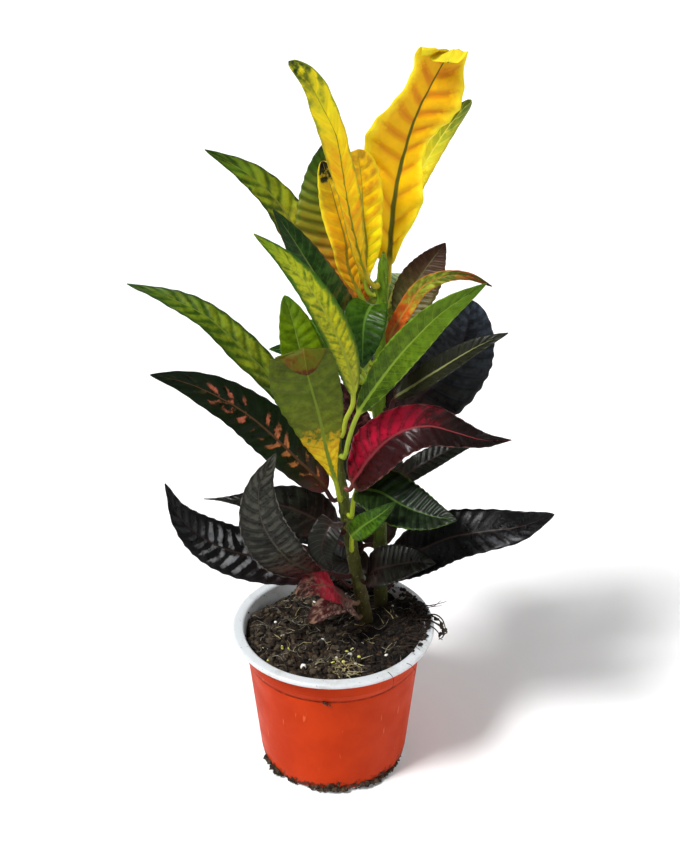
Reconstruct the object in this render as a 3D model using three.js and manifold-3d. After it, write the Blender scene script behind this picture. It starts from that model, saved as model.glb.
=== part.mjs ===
// Potted croton: a thin plastic nursery pot, its soil, two rooted stems and their leaves.
// Millimetres, +Z up. The origin is the centre of the pot's underside, and -Y is the front.
import * as THREE from 'three';
import { mergeVertices } from 'three/addons/utils/BufferGeometryUtils.js';
import Module from 'manifold-3d';

const wasm = await Module();
wasm.setup();

// Pot: a 12 cm nursery pot, thermoformed from sheet, with a rolled lip
const POT_HEIGHT = 93;
const LIP_RADIUS = 60;
const LIP_THICK = 3.4;
const MOUTH_RADIUS = 54.6;
const SHOULDER_HEIGHT = 75;
const SHOULDER_STEP = 1.1;
const FOOT_RADIUS = 44;
const FOOT_ROUND = 4;
const WALL_TAPER = 0.1;
const WALL = 1;
const DRAIN_HOLES = 8;
const DRAIN_RADIUS = 3.5;
const DRAIN_CIRCLE = 31;

// Clearance between touching pieces, and the sides that pot and soil both have
const GAP = 0.3;
const ROUND_SIDES = 40;

// Soil: filled to just under the lip, lower behind on the left and heaped against the lip on the right
const SOIL_LEVEL = 87;
const SOIL_HEAP = 5.5;
const SOIL_HOLLOW = 4;
const SOIL_LUMP = 0.9;

// Stems: two cuttings. Each axis is a list of points from its foot in the soil to its growing tip
const STEMS = {
  tall: {
    axis: [[30, 27, 42], [29, 25, 90], [27.5, 21.5, 150], [26, 17, 210], [26, 14.5, 270], [27, 14, 322]],
    foot: 4.4,
    top: 2.9,
    colour: 0x5c7a22,
  },
  short: {
    axis: [[23, 12, 42], [20, 9.5, 88], [13, 3, 130], [7, -3, 172], [2.5, -7, 208], [1, -8.5, 236]],
    foot: 4.6,
    top: 2.8,
    colour: 0x5a5a26,
  },
};
const STEM_SIDES = 12;
const BUD_LENGTH = 9;

// Leaves
const STALK_RADIUS = 1.3;
const BLADE_THICK = 0.8;
const MIDRIB_DEPTH = 0.8;
const LEAF_STEPS = 12;
const LEAF_COLUMNS = 4;
const KNUCKLE = 3.5;
const SEAT_GAP = 0.4;

// Each leaf: the stem that it grows on and the height where its stalk leaves it, the points that its rib runs
// through to the tip, the way its upper face looks, the width of the blade and the share of the length that
// is bare stalk. Optional: shape, the fullness of base and tip (smaller is fuller); fold, how far the halves
// rise from flat in degrees at the base and the tip, or foldLeft and foldRight; twist in degrees at the base
// and the tip; half, the share of the width that the left and right halves have; wave, the height, number
// and start of the waves along an edge; lobe, how far the outline follows them; steps along the blade.
const LEAVES = [
  {
    name: 'leaf_tall_yellow', stem: 'tall', at: 303, width: 31, stalk: 0.1, colour: 0xe6b012, steps: 20,
    rib: [[31, 21, 329], [34, 23, 358], [42, 22, 391], [53, 21, 415], [60, 16, 428], [57, 8, 423]],
    faces: [-0.1, -1, 0.1], shape: [0.6, 0.34], fold: [14, 10], twist: [0, 24], lobe: 0.3,
    half: [1.15, 0.92], wave: [2.6, 2.2, 0.45],
  },
  {
    name: 'leaf_young_green', stem: 'tall', at: 292, width: 13, stalk: 0.2, colour: 0x9aa020,
    rib: [[32, 29, 317], [42, 37, 348], [58, 43, 376], [73, 48, 394]],
    faces: [-0.5, -1, 0.3], shape: [0.6, 0.5], fold: [25, 20],
  },
  {
    name: 'leaf_left_yellow', stem: 'tall', at: 304, width: 13, stalk: 0.08, colour: 0xe2bc14, steps: 20,
    rib: [[17, 5, 314], [12, 0, 334], [8, -6, 355], [5, -12, 376], [2, -17, 394], [-5, -21, 410],
      [-11, -24, 422], [-20, -26, 432]],
    faces: [0.1, -1, 0.2], shape: [0.9, 0.45], half: [0.9, 1], fold: [10, 15],
    lobe: 0.3, wave: [1.4, 1.6, 0.5],
  },
  {
    name: 'leaf_left_orange', stem: 'tall', at: 282, width: 38, stalk: 0.12, colour: 0xb88a22, steps: 16,
    rib: [[11, 19, 296], [5, 23, 315], [0, 27, 334], [-3, 32, 354], [-4, 38, 374]],
    faces: [-0.2, -1, 0.2], shape: [0.45, 0.8], half: [1.1, 0.7], fold: [6, 12], wave: [1.2, 3, 0],
  },
  {
    name: 'leaf_left_olive', stem: 'tall', at: 268, width: 20, stalk: 0.2, colour: 0x87911a,
    rib: [[12, 27, 284], [-3, 34, 304], [-18, 40, 322], [-31, 46, 340], [-48, 51, 354], [-69, 55, 365]],
    faces: [0.1, -0.8, 0.8], fold: [15, 20], wave: [0.8, 3, 0],
  },
  {
    name: 'leaf_left_dark_green', stem: 'tall', at: 258, width: 19, stalk: 0.2, colour: 0x1c3f14,
    rib: [[16, 9, 270], [5, 4, 290], [-7, 1, 311], [-18, -1, 331], [-30, -4, 352]],
    faces: [0.2, -1, 0.5], fold: [20, 20],
  },
  {
    name: 'leaf_left_inner_green', stem: 'tall', at: 246, width: 17, stalk: 0.2, colour: 0x24421a,
    rib: [[13, 8, 258], [0, 5, 266], [-16, 2, 270], [-34, 0, 272]],
    faces: [0.1, -0.6, 1], fold: [15, 15],
  },
  {
    name: 'leaf_centre_green', stem: 'tall', at: 290, width: 22, stalk: 0.15, colour: 0x2c6a1c,
    rib: [[21, 3, 296], [17, -5, 291], [16, -11, 280], [16, -15, 268]],
    faces: [0, -1, 0.6], fold: [15, 15],
  },
  {
    name: 'leaf_right_brown', stem: 'tall', at: 272, width: 24, stalk: 0.25, colour: 0x3a3413,
    rib: [[38, 15, 287], [44, 20, 300], [52, 27, 310], [61, 33, 320]],
    faces: [-0.3, -1, 0.4], half: [0.75, 1.1], fold: [12, 12],
  },
  {
    name: 'leaf_right_twisted', stem: 'tall', at: 262, width: 8, stalk: 0.1, colour: 0xc27626,
    rib: [[32, 8, 277], [39, 4, 293], [47, 2, 307], [59, -2, 315], [71, -5, 316], [83, -7, 311]],
    faces: [-0.4, -1, 0.4], fold: [30, 20], twist: [0, 30],
  },
  {
    name: 'leaf_right_blue_black', stem: 'tall', at: 212, width: 42, stalk: 0.14, colour: 0x23262e,
      steps: 16,
    rib: [[39, 21, 225], [51, 24, 234], [64, 29, 245], [73, 35, 261], [78, 41, 283]],
    faces: [0.2, -1, 0.5], shape: [0.5, 0.6], fold: [10, 10], wave: [1.5, 3, 0.3],
  },
  {
    name: 'leaf_right_olive_black', stem: 'tall', at: 228, width: 14, stalk: 0.15, colour: 0x2a2c18,
    rib: [[35, 11, 237], [48, 11, 247], [64, 10, 259], [79, 10, 269], [95, 10, 277]],
    faces: [0.1, -0.6, 1], fold: [20, 20],
  },
  {
    name: 'leaf_right_narrow_black', stem: 'tall', at: 170, width: 13, stalk: 0.15, colour: 0x14170f,
    rib: [[34, 12, 180], [46, 10, 192], [60, 12, 200], [75, 15, 206], [88, 18, 207]],
    faces: [0, -0.6, 1], fold: [12, 12],
  },
  {
    name: 'leaf_bottom_right_black', stem: 'tall', at: 112, width: 31, stalk: 0.12, colour: 0x0e0f12,
    rib: [[36, 14, 124], [49, 3, 141], [67, -7, 157], [86, -13, 165], [105, -19, 172], [122, -24, 183]],
    faces: [0, -0.8, 1], shape: [0.38, 0.75], fold: [10, 10], wave: [1.5, 2, 0.1],
  },
  {
    name: 'leaf_back_left_low', stem: 'tall', at: 104, width: 30, stalk: 0.12, colour: 0x16180f,
    rib: [[16, 33, 110], [0, 40, 109], [-18, 45, 106], [-34, 48, 100]],
    faces: [0, -0.3, 1], fold: [10, 10],
  },
  {
    name: 'leaf_back_right_low', stem: 'tall', at: 98, width: 30, stalk: 0.12, colour: 0x121410,
    rib: [[40, 35, 107], [53, 46, 111], [67, 57, 109], [82, 67, 101]],
    faces: [0, -0.3, 1], fold: [10, 10],
  },
  {
    name: 'leaf_back_left_middle', stem: 'tall', at: 168, width: 28, stalk: 0.12, colour: 0x1a2410,
    rib: [[12, 34, 178], [-5, 48, 184], [-24, 61, 186], [-45, 72, 183]],
    faces: [0, -0.4, 1], fold: [12, 12],
  },
  {
    name: 'leaf_back_right_middle', stem: 'tall', at: 196, width: 28, stalk: 0.12, colour: 0x181c14,
    rib: [[38, 29, 208], [52, 43, 219], [66, 56, 228], [80, 68, 236]],
    faces: [0, -0.6, 1], fold: [12, 12],
  },
  {
    name: 'leaf_back_upper', stem: 'tall', at: 264, width: 24, stalk: 0.14, colour: 0x4a6a16,
    rib: [[28, 32, 274], [33, 50, 282], [37, 68, 284], [40, 86, 281]],
    faces: [0, -0.3, 1], fold: [14, 14],
  },
  {
    name: 'leaf_back_left_upper', stem: 'tall', at: 234, width: 26, stalk: 0.14, colour: 0x2c4a14,
    rib: [[14, 32, 242], [1, 47, 250], [-13, 62, 254], [-28, 76, 254]],
    faces: [0, -0.4, 1], fold: [14, 14],
  },
  {
    name: 'leaf_back_centre', stem: 'tall', at: 152, width: 30, stalk: 0.12, colour: 0x14180e,
    rib: [[27, 42, 165], [26, 62, 170], [25, 82, 166], [25, 100, 155]],
    faces: [0, -0.2, 1], fold: [12, 12],
  },
  {
    name: 'leaf_front_yellow_green', stem: 'short', at: 226, width: 15, stalk: 0.24, colour: 0x9ea51c,
    rib: [[7, -15, 237], [11, -19, 250], [9, -23, 269], [3, -28, 291], [-9, -32, 317],
      [-23, -36, 337], [-38, -37, 351]],
    faces: [0.2, -1, 0.5], shape: [0.7, 0.9], fold: [20, 15],
  },
  {
    name: 'leaf_front_green', stem: 'short', at: 184, width: 34, stalk: 0.16, colour: 0x4f7014, steps: 20,
    rib: [[2, -18, 199], [-3, -28, 225], [-7, -37, 252], [-12, -45, 277], [-14, -51, 294],
      [-14, -57, 298], [-12, -61, 286]],
    faces: [0, -1, 0.3], shape: [1.4, 0.62], half: [1.15, 0.9], fold: [12, 12], wave: [0.8, 2.5, 0],
  },
  {
    name: 'leaf_left_long_olive', stem: 'short', at: 214, width: 17, stalk: 0.14, colour: 0x5f7714,
    rib: [[-12, -1, 226], [-30, 6, 247], [-49, 12, 266], [-68, 19, 282], [-90, 26, 291], [-113, 33, 296]],
    faces: [0.1, -0.8, 1], fold: [15, 15], wave: [0.8, 3, 0],
  },
  {
    name: 'leaf_left_black_green', stem: 'short', at: 182, width: 26, stalk: 0.1, colour: 0x17210f,
    rib: [[-7, -11, 196], [-22, -14, 215], [-40, -15, 235], [-57, -16, 249], [-77, -17, 260],
      [-96, -19, 266]],
    faces: [0.2, -0.9, 0.8], fold: [12, 12], wave: [1, 3, 0],
  },
  {
    name: 'leaf_front_charcoal', stem: 'short', at: 126, width: 27, stalk: 0.2, colour: 0x34342e,
    rib: [[-4, -11, 136], [-19, -22, 148], [-30, -35, 168], [-38, -44, 192], [-38, -50, 217],
      [-29, -52, 237]],
    faces: [0, -1, 0.3], fold: [15, 15],
  },
  {
    name: 'leaf_left_thin_black', stem: 'short', at: 148, width: 32, stalk: 0.1, colour: 0x121210,
    rib: [[-4, 3, 158], [-18, 7, 165], [-36, 11, 169], [-56, 13, 170], [-75, 16, 169]],
    faces: [0, -0.4, 1], shape: [0.7, 2], fold: [8, 8],
  },
  {
    name: 'leaf_inner_charcoal', stem: 'short', at: 160, width: 16, stalk: 0.2, colour: 0x2c2d28,
    rib: [[1, -12, 170], [-4, -17, 166], [-6, -20, 156], [-1, -22, 144]],
    faces: [-0.2, -1, 0.5], fold: [15, 15], wave: [1, 2, 0],
  },
  {
    name: 'leaf_bottom_left_charcoal', stem: 'short', at: 118, width: 28, stalk: 0.15, colour: 0x34343a,
    rib: [[-2, -5, 133], [-20, -9, 140], [-40, -16, 149], [-59, -24, 160], [-74, -32, 175],
      [-84, -38, 192], [-89, -40, 212]],
    faces: [0.1, -0.9, 0.9], fold: [12, 12], wave: [1, 2, 0],
  },
  {
    name: 'leaf_right_long_green', stem: 'short', at: 212, width: 17, stalk: 0.26, colour: 0x5a7c12,
    rib: [[9, -15, 226], [14, -20, 244], [27, -26, 269], [40, -32, 290], [56, -37, 310], [76, -42, 327]],
    faces: [-0.2, -1, 0.4], shape: [0.8, 0.9], fold: [20, 20],
  },
  {
    name: 'leaf_right_crimson', stem: 'short', at: 190, width: 27, stalk: 0.08, colour: 0x8c1230,
      steps: 18,
    rib: [[14, -14, 202], [23, -18, 219], [36, -20, 232], [51, -22, 237], [66, -22, 233],
      [81, -23, 229], [96, -23, 229]],
    faces: [0, -1, 0.6], shape: [0.5, 1.1], fold: [10, 10], wave: [1.5, 3, 0],
  },
  {
    name: 'leaf_right_dark_green', stem: 'short', at: 172, width: 28, stalk: 0.25, colour: 0x1f3414,
    rib: [[13, -13, 190], [25, -18, 194], [39, -25, 189], [53, -32, 187], [67, -38, 188]],
    faces: [0, -0.8, 1], fold: [10, 10],
  },
  {
    name: 'leaf_right_small_green', stem: 'short', at: 148, width: 12, stalk: 0.3, colour: 0x4c7418,
    rib: [[11, -15, 163], [17, -26, 177], [25, -35, 189], [34, -39, 200]],
    faces: [-0.3, -1, 0.5], fold: [20, 15],
  },
  {
    name: 'leaf_bottom_inner_black', stem: 'short', at: 122, width: 24, stalk: 0.12, colour: 0x141210,
    rib: [[24, -6, 134], [34, -10, 140], [46, -14, 145], [58, -18, 147]],
    faces: [0, -0.7, 1], fold: [10, 10],
  },
  {
    name: 'leaf_dried_left', stem: 'short', at: 106, width: 16, stalk: 0.15, colour: 0x7a2a34,
    rib: [[6, -12, 119], [-2, -25, 136], [-12, -33, 142], [-20, -38, 138]],
    faces: [0, -0.8, 1], fold: [-20, 10], wave: [1.5, 2, 0], shape: [0.6, 0.5],
  },
  {
    name: 'leaf_dried_front', stem: 'short', at: 94, width: 12, stalk: 0.15, colour: 0xa87a70,
    rib: [[9, -4, 110], [3, -12, 116], [-5, -19, 117], [-14, -25, 111]],
    faces: [0, -1, 0.6], fold: [-20, 10], wave: [1.5, 2, 0], shape: [0.6, 0.5],
  },
  {
    name: 'leaf_inner_yellow', stem: 'tall', at: 298, width: 25, stalk: 0.14, colour: 0xd9a01c,
    rib: [[17, 12, 307], [18, 12, 325], [16, 12, 344], [15, 11, 362], [13, 10, 379]],
    faces: [0.1, -1, 0.3], shape: [0.9, 0.45], half: [1, 0.8], fold: [10, 10], wave: [1, 3, 0.2],
  },
  {
    name: 'leaf_back_low', stem: 'tall', at: 122, width: 30, stalk: 0.12, colour: 0x15170f,
    rib: [[26, 38, 132], [22, 52, 138], [19, 66, 138], [17, 80, 132]], faces: [0, -0.3, 1],
    fold: [12, 12],
  },
  {
    name: 'leaf_back_right_upper', stem: 'tall', at: 246, width: 22, stalk: 0.14, colour: 0x2a4a16,
    rib: [[33, 36, 254], [41, 52, 261], [50, 66, 263], [59, 79, 259]], faces: [0, -0.4, 1],
    fold: [12, 12],
  },
  {
    name: 'leaf_back_green', stem: 'tall', at: 216, width: 26, stalk: 0.14, colour: 0x20401a,
    rib: [[22, 32, 226], [17, 48, 234], [13, 64, 236], [10, 79, 232]], faces: [0, -0.3, 1],
    fold: [12, 12],
  },
  {
    name: 'leaf_back_right_inner', stem: 'tall', at: 182, width: 26, stalk: 0.12, colour: 0x171b12,
    rib: [[33, 34, 192], [40, 50, 198], [47, 66, 198], [53, 81, 192]], faces: [0, -0.3, 1],
    fold: [12, 12],
  },
  {
    name: 'leaf_left_gold', stem: 'tall', at: 288, width: 16, stalk: 0.2, colour: 0xd8981c,
    rib: [[9, 9, 313], [7, 7, 330], [3, 6, 346], [-1, 4, 362], [-5, 3, 375]], faces: [0.1, -1, 0.3],
    shape: [0.9, 0.6], fold: [12, 12], wave: [0.8, 2, 0],
  },
  {
    name: 'leaf_front_upper', stem: 'short', at: 202, width: 23, stalk: 0.2, colour: 0x55781a,
    rib: [[-5, -12, 231], [-11, -17, 255], [-16, -21, 278], [-20, -24, 298], [-24, -26, 314]],
    faces: [0, -1, 0.3], shape: [0.8, 0.7], half: [0.9, 1.1], fold: [14, 14],
  },
  {
    name: 'leaf_centre_maroon', stem: 'tall', at: 212, width: 18, stalk: 0.15, colour: 0x4a1c1c,
    rib: [[15, 6, 216], [11, 3, 228], [7, 0, 240], [4, -2, 253]], faces: [0, -1, 0.4], fold: [12, 12],
  },
  {
    name: 'leaf_inner_black', stem: 'tall', at: 132, width: 28, stalk: 0.12, colour: 0x15150f,
    rib: [[11, 25, 129], [0, 23, 138], [-12, 22, 142], [-26, 21, 137]], faces: [0, -0.4, 1],
    fold: [10, 10],
  },
];

const vec = (p) => new THREE.Vector3(...p);
const radians = THREE.MathUtils.degToRad;
const mix = THREE.MathUtils.lerp;

// A closed body through rings of equal count, each counter-clockwise seen from the end. From the index
// splitFrom on, the quads are split along the other diagonal, so that both faces of a blade are split alike.
function loft(rings, splitFrom = Infinity) {
  const count = rings[0].length;
  const points = rings.flat();
  const faces = [];
  for (let k = 0; k + 1 < rings.length; k += 1) {
    for (let i = 0; i < count; i += 1) {
      const a = k * count + i;
      const b = k * count + ((i + 1) % count);
      const c = b + count;
      const d = a + count;
      if (i < splitFrom) faces.push(a, b, c, a, c, d);
      else faces.push(a, b, d, b, c, d);
    }
  }
  const last = (rings.length - 1) * count;
  for (let i = 1; i + 1 < count; i += 1) {
    faces.push(0, i + 1, i, last, last + i, last + i + 1);
  }
  const geometry = new THREE.BufferGeometry().setFromPoints(points);
  geometry.setIndex(faces);
  return geometry;
}

function toSolid(geometry) {
  const bare = geometry.clone();
  bare.deleteAttribute('normal');
  bare.deleteAttribute('uv');
  const merged = mergeVertices(bare, 1e-4);
  return new wasm.Manifold(new wasm.Mesh({
    numProp: 3,
    vertProperties: merged.attributes.position.array,
    triVerts: new Uint32Array(merged.index.array),
  }));
}

function toGeometry(solid) {
  const mesh = solid.getMesh();
  const geometry = new THREE.BufferGeometry();
  geometry.setAttribute('position', new THREE.BufferAttribute(mesh.vertProperties, 3));
  geometry.setIndex(new THREE.BufferAttribute(mesh.triVerts, 1));
  return geometry;
}

function addMesh(group, name, geometry, colour, roughness) {
  geometry.computeVertexNormals();
  const material = new THREE.MeshStandardMaterial({ color: colour, roughness, metalness: 0 });
  const mesh = new THREE.Mesh(geometry, material);
  mesh.name = name;
  group.add(mesh);
}

// Pot: one skin turned about +Z, drain holes cut through its floor
const wallRadius = (z) => FOOT_RADIUS + WALL_TAPER * z + (z > SHOULDER_HEIGHT ? SHOULDER_STEP : 0);

function potGeometry() {
  const lipFoot = POT_HEIGHT - LIP_THICK;
  const lipRound = LIP_THICK / 2;
  const outside = new THREE.Path();
  outside.moveTo(0, 0);
  outside.lineTo(FOOT_RADIUS - FOOT_ROUND, 0);
  outside.quadraticCurveTo(FOOT_RADIUS, 0, FOOT_RADIUS + WALL_TAPER * FOOT_ROUND, FOOT_ROUND);
  outside.lineTo(wallRadius(SHOULDER_HEIGHT), SHOULDER_HEIGHT);
  outside.lineTo(wallRadius(SHOULDER_HEIGHT) + SHOULDER_STEP, SHOULDER_HEIGHT + SHOULDER_STEP);
  outside.lineTo(wallRadius(lipFoot), lipFoot);
  outside.lineTo(LIP_RADIUS - lipRound, lipFoot);
  outside.quadraticCurveTo(LIP_RADIUS, lipFoot, LIP_RADIUS, lipFoot + lipRound);
  outside.quadraticCurveTo(LIP_RADIUS, POT_HEIGHT, LIP_RADIUS - lipRound, POT_HEIGHT);
  outside.lineTo(MOUTH_RADIUS, POT_HEIGHT);
  outside.quadraticCurveTo(wallRadius(lipFoot) - WALL, POT_HEIGHT, wallRadius(lipFoot) - WALL, lipFoot);
  outside.lineTo(wallRadius(SHOULDER_HEIGHT) - WALL, SHOULDER_HEIGHT - 1);
  outside.lineTo(FOOT_RADIUS + WALL_TAPER * FOOT_ROUND - WALL, FOOT_ROUND);
  outside.quadraticCurveTo(FOOT_RADIUS - WALL, WALL, FOOT_RADIUS - FOOT_ROUND, WALL);
  outside.lineTo(0, WALL);
  const skin = new THREE.LatheGeometry(outside.getPoints(3), ROUND_SIDES);
  skin.rotateX(Math.PI / 2);
  let pot = toSolid(skin);
  for (let i = 0; i < DRAIN_HOLES; i += 1) {
    const angle = (2 * Math.PI * (i + 0.5)) / DRAIN_HOLES;
    const hole = new THREE.CylinderGeometry(DRAIN_RADIUS, DRAIN_RADIUS, 4 * WALL, 12);
    hole.rotateX(Math.PI / 2);
    hole.translate(DRAIN_CIRCLE * Math.cos(angle), DRAIN_CIRCLE * Math.sin(angle), 0);
    pot = pot.subtract(toSolid(hole));
  }
  return toGeometry(pot);
}

// Height of the soil's surface, with lumps
function soilHeight(x, y) {
  const heap = SOIL_HEAP * Math.exp(-((x - 50) ** 2 + (y - 6) ** 2) / 20 ** 2);
  const hollow = SOIL_HOLLOW * Math.exp(-((x + 34) ** 2 + (y - 34) ** 2) / 24 ** 2);
  const lumps = Math.sin(0.31 * x + 1.3) * Math.cos(0.27 * y) + Math.sin(0.17 * x - 0.23 * y);
  return SOIL_LEVEL + heap - hollow + SOIL_LUMP * lumps;
}

// A point of a stem's axis at a height, and the stem's radius there
function stemAt(stem, height) {
  const points = stem.axis;
  let i = 0;
  while (i + 2 < points.length && points[i + 1][2] < height) i += 1;
  const share = (height - points[i][2]) / (points[i + 1][2] - points[i][2]);
  const rise = (height - points[0][2]) / (points.at(-1)[2] - points[0][2]);
  return {
    point: vec(points[i]).lerp(vec(points[i + 1]), share),
    radius: mix(stem.foot, stem.top, THREE.MathUtils.clamp(rise, 0, 1)),
  };
}

// A stem, or with extra over 0 the hole that it stands in: level rings, a bud at the top
function stemGeometry(stem, extra) {
  const foot = stem.axis[0][2] - extra;
  const top = stem.axis.at(-1)[2];
  const heights = [foot, ...stem.axis.slice(1).map((p) => p[2])];
  heights.splice(-1, 0, top - BUD_LENGTH);
  return loft(heights.map((height) => {
    const { point, radius } = stemAt(stem, height);
    const reach = height === top ? radius * 0.2 : radius + extra;
    return Array.from({ length: STEM_SIDES }, (_, i) => {
      const angle = (2 * Math.PI * i) / STEM_SIDES;
      return new THREE.Vector3(reach * Math.cos(angle), reach * Math.sin(angle), 0).add(point);
    });
  }));
}

function soilGeometry() {
  const floor = WALL + GAP;
  const sideRadius = (z) => FOOT_RADIUS + WALL_TAPER * z - WALL - GAP;
  const edge = SOIL_LEVEL - SOIL_HOLLOW - 2;
  const shoulder = SHOULDER_HEIGHT - 2;
  const radii = [1, 0.9, 0.75, 0.6, 0.45, 0.3, 0.15, 0];
  const profile = [
    [0, floor],
    [FOOT_RADIUS - FOOT_ROUND - GAP, floor],
    [sideRadius(FOOT_ROUND + 1), FOOT_ROUND + 1],
    [sideRadius(shoulder), shoulder],
    ...radii.map((share) => [share * (sideRadius(edge) + SHOULDER_STEP / 2), edge]),
  ].map(([r, z]) => new THREE.Vector2(r, z));
  const block = new THREE.LatheGeometry(profile, ROUND_SIDES);
  block.rotateX(Math.PI / 2);
  const places = block.attributes.position;
  for (let i = 0; i < places.count; i += 1) {
    if (places.getZ(i) > edge - 0.1) places.setZ(i, soilHeight(places.getX(i), places.getY(i)));
  }
  let soil = toSolid(block);
  for (const stem of Object.values(STEMS)) {
    soil = soil.subtract(toSolid(stemGeometry(stem, GAP)));
  }
  return toGeometry(soil);
}

// The outline of a blade, 0 at base and tip and 1 where it is widest
function outline(u, [base, tip]) {
  const widest = base / (base + tip);
  return (u ** base * (1 - u) ** tip) / (widest ** base * (1 - widest) ** tip);
}

// A leaf in one body: a round stalk that flattens into the blade, with the rib standing out underneath
function leafGeometry(leaf) {
  const { shape = [0.6, 0.9], fold = [12, 12], twist = [0, 0], half = [1, 1] } = leaf;
  const { wave = [0, 1, 0], lobe = 0, steps = LEAF_STEPS, foldLeft = fold, foldRight = fold } = leaf;
  const { point: axis, radius } = stemAt(STEMS[leaf.stem], leaf.at);
  const first = vec(leaf.rib[0]);
  const outward = first.clone().sub(axis).setZ(0).normalize();
  const seat = axis.clone().addScaledVector(outward, radius + SEAT_GAP);
  const knuckle = seat.clone().addScaledVector(outward, KNUCKLE).setZ(leaf.at + 0.5);
  const path = new THREE.CatmullRomCurve3([seat, knuckle, ...leaf.rib.map(vec)], false, 'catmullrom');
  const chord = vec(leaf.rib.at(-1)).sub(first).normalize();
  const upper = vec(leaf.faces).addScaledVector(chord, -chord.dot(vec(leaf.faces))).normalize();
  const across = new THREE.Vector3().crossVectors(chord, upper);

  const places = [0, KNUCKLE / path.getLength(), leaf.stalk];
  for (let k = 1; k <= steps; k += 1) places.push(mix(leaf.stalk, 1, k / steps));
  const grid = places.map((place) => {
    const u = Math.max(0, (place - leaf.stalk) / (1 - leaf.stalk));
    const point = path.getPointAt(place);
    const along = path.getTangentAt(place);
    const side = across.clone().addScaledVector(along, -along.dot(across)).normalize();
    side.applyAxisAngle(along, radians(mix(twist[0], twist[1], u)));
    const up = new THREE.Vector3().crossVectors(side, along);
    return Array.from({ length: LEAF_COLUMNS + 1 }, (_, j) => {
      const v = (2 * j) / LEAF_COLUMNS - 1;
      const s = Math.abs(v);
      const bend = v < 0 ? foldLeft : foldRight;
      const rise = radians(mix(bend[0], bend[1], u));
      const turn = 2 * Math.PI * (wave[1] * u + wave[2] + (v < 0 ? 0.45 : 0));
      const width = (leaf.width / 2) * (v < 0 ? half[0] : half[1]) * outline(u, shape);
      const blade = width * (1 + lobe * Math.cos(turn));
      const reach = blade + mix(STALK_RADIUS, BLADE_THICK / 2, u);
      const ripple = wave[0] * s * s * Math.sin(turn) * Math.min(1, 5 * u, 5 * (1 - u));
      const share = blade / reach;
      const lift = share * (reach * s * Math.sin(rise) + ripple);
      const flat = reach * mix(1, Math.cos(rise), share);
      return point.clone().addScaledVector(side, v * flat).addScaledVector(up, lift);
    });
  });

  const rings = grid.map((row, k) => {
    const u = Math.max(0, (places[k] - leaf.stalk) / (1 - leaf.stalk));
    const blade = THREE.MathUtils.smoothstep(u, 0, 0.12);
    const top = [];
    const under = [];
    row.forEach((point, j) => {
      const before = grid[Math.max(0, k - 1)][j];
      const after = grid[Math.min(grid.length - 1, k + 1)][j];
      const left = row[Math.max(0, j - 1)];
      const right = row[Math.min(row.length - 1, j + 1)];
      const normal = right.clone().sub(left).cross(after.clone().sub(before)).normalize();
      const v = (2 * j) / LEAF_COLUMNS - 1;
      const round = STALK_RADIUS * Math.sqrt(1 - 0.85 * v * v);
      const rib = v === 0 ? MIDRIB_DEPTH * (1 - u) : 0;
      top.push(point.clone().addScaledVector(normal, mix(round, BLADE_THICK / 2, blade)));
      under.unshift(point.clone().addScaledVector(normal, -mix(round, BLADE_THICK / 2 + rib, blade)));
    });
    return [...top, ...under];
  });
  return loft(rings, LEAF_COLUMNS + 1);
}

const croton = new THREE.Group();
addMesh(croton, 'pot', potGeometry(), 0xc8431a, 0.45);
addMesh(croton, 'soil', soilGeometry(), 0x2a211c, 0.95);
for (const [name, stem] of Object.entries(STEMS)) {
  addMesh(croton, `stem_${name}`, stemGeometry(stem, 0), stem.colour, 0.6);
}
for (const leaf of LEAVES) {
  addMesh(croton, leaf.name, leafGeometry(leaf), leaf.colour, 0.35);
}

export default croton;
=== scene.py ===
"""A young potted croton: a thin nursery pot, potting mix, two rooted cuttings and their leaves."""
import functools
import itertools
import math
import random

import bmesh
import bpy
import numpy as np
from mathutils import Matrix, Vector, noise


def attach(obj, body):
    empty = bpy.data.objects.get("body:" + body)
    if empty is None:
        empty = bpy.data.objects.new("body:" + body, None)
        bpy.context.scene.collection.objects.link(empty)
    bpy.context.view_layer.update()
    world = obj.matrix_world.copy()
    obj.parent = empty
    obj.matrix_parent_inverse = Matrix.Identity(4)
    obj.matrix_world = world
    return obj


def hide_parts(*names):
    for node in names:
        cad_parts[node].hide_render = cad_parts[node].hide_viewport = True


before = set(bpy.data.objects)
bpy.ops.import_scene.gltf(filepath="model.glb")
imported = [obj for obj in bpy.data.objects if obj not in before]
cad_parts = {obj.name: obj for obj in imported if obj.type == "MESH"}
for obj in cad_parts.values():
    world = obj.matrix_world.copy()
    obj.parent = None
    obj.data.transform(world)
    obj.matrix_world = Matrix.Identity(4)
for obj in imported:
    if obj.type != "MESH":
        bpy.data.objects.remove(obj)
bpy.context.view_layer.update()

# Pot: a 12 cm nursery pot drawn down from warm sheet plastic, white inside and terracotta outside, so its
# rolled lip shows the white side. The wall tapers to a rounded foot, and the drain holes are punched last.
MM = 0.001
POT_HEIGHT = 93
LIP_RADIUS = 60
LIP_THICK = 3.4
MOUTH_RADIUS = 54.6
SHOULDER_HEIGHT = 75
SHOULDER_STEP = 1.1
FOOT_RADIUS = 44
FOOT_ROUND = 4
WALL_TAPER = 0.1
WALL = 1
DRAIN_HOLES = 8
DRAIN_RADIUS = 3.5
DRAIN_CIRCLE = 31
TERRACOTTA = "#b43305"
TERRACOTTA_DEEP = "#a82d05"
SCUFF_PALE = "#e0784a"
PAINTED_CREASE_SHADE = "#4a1406"
# the dark of the painted shade in the shoulder creases
LIP_WHITE = "#c6cacd"
LIP_SMEAR = "#8d8678"
# the dark brown of soil on the pot, also used for the painted shadow just below the lip
SOIL_AND_SHADE_BROWN = "#2b1c12"


def paint(code):
    """A colour written as #rrggbb, in the linear values that a shader takes."""
    parts = [int(code[i:i + 2], 16) / 255 for i in (1, 3, 5)]
    return (*[p / 12.92 if p <= 0.04045 else ((p + 0.055) / 1.055) ** 2.4 for p in parts], 1.0)


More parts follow.
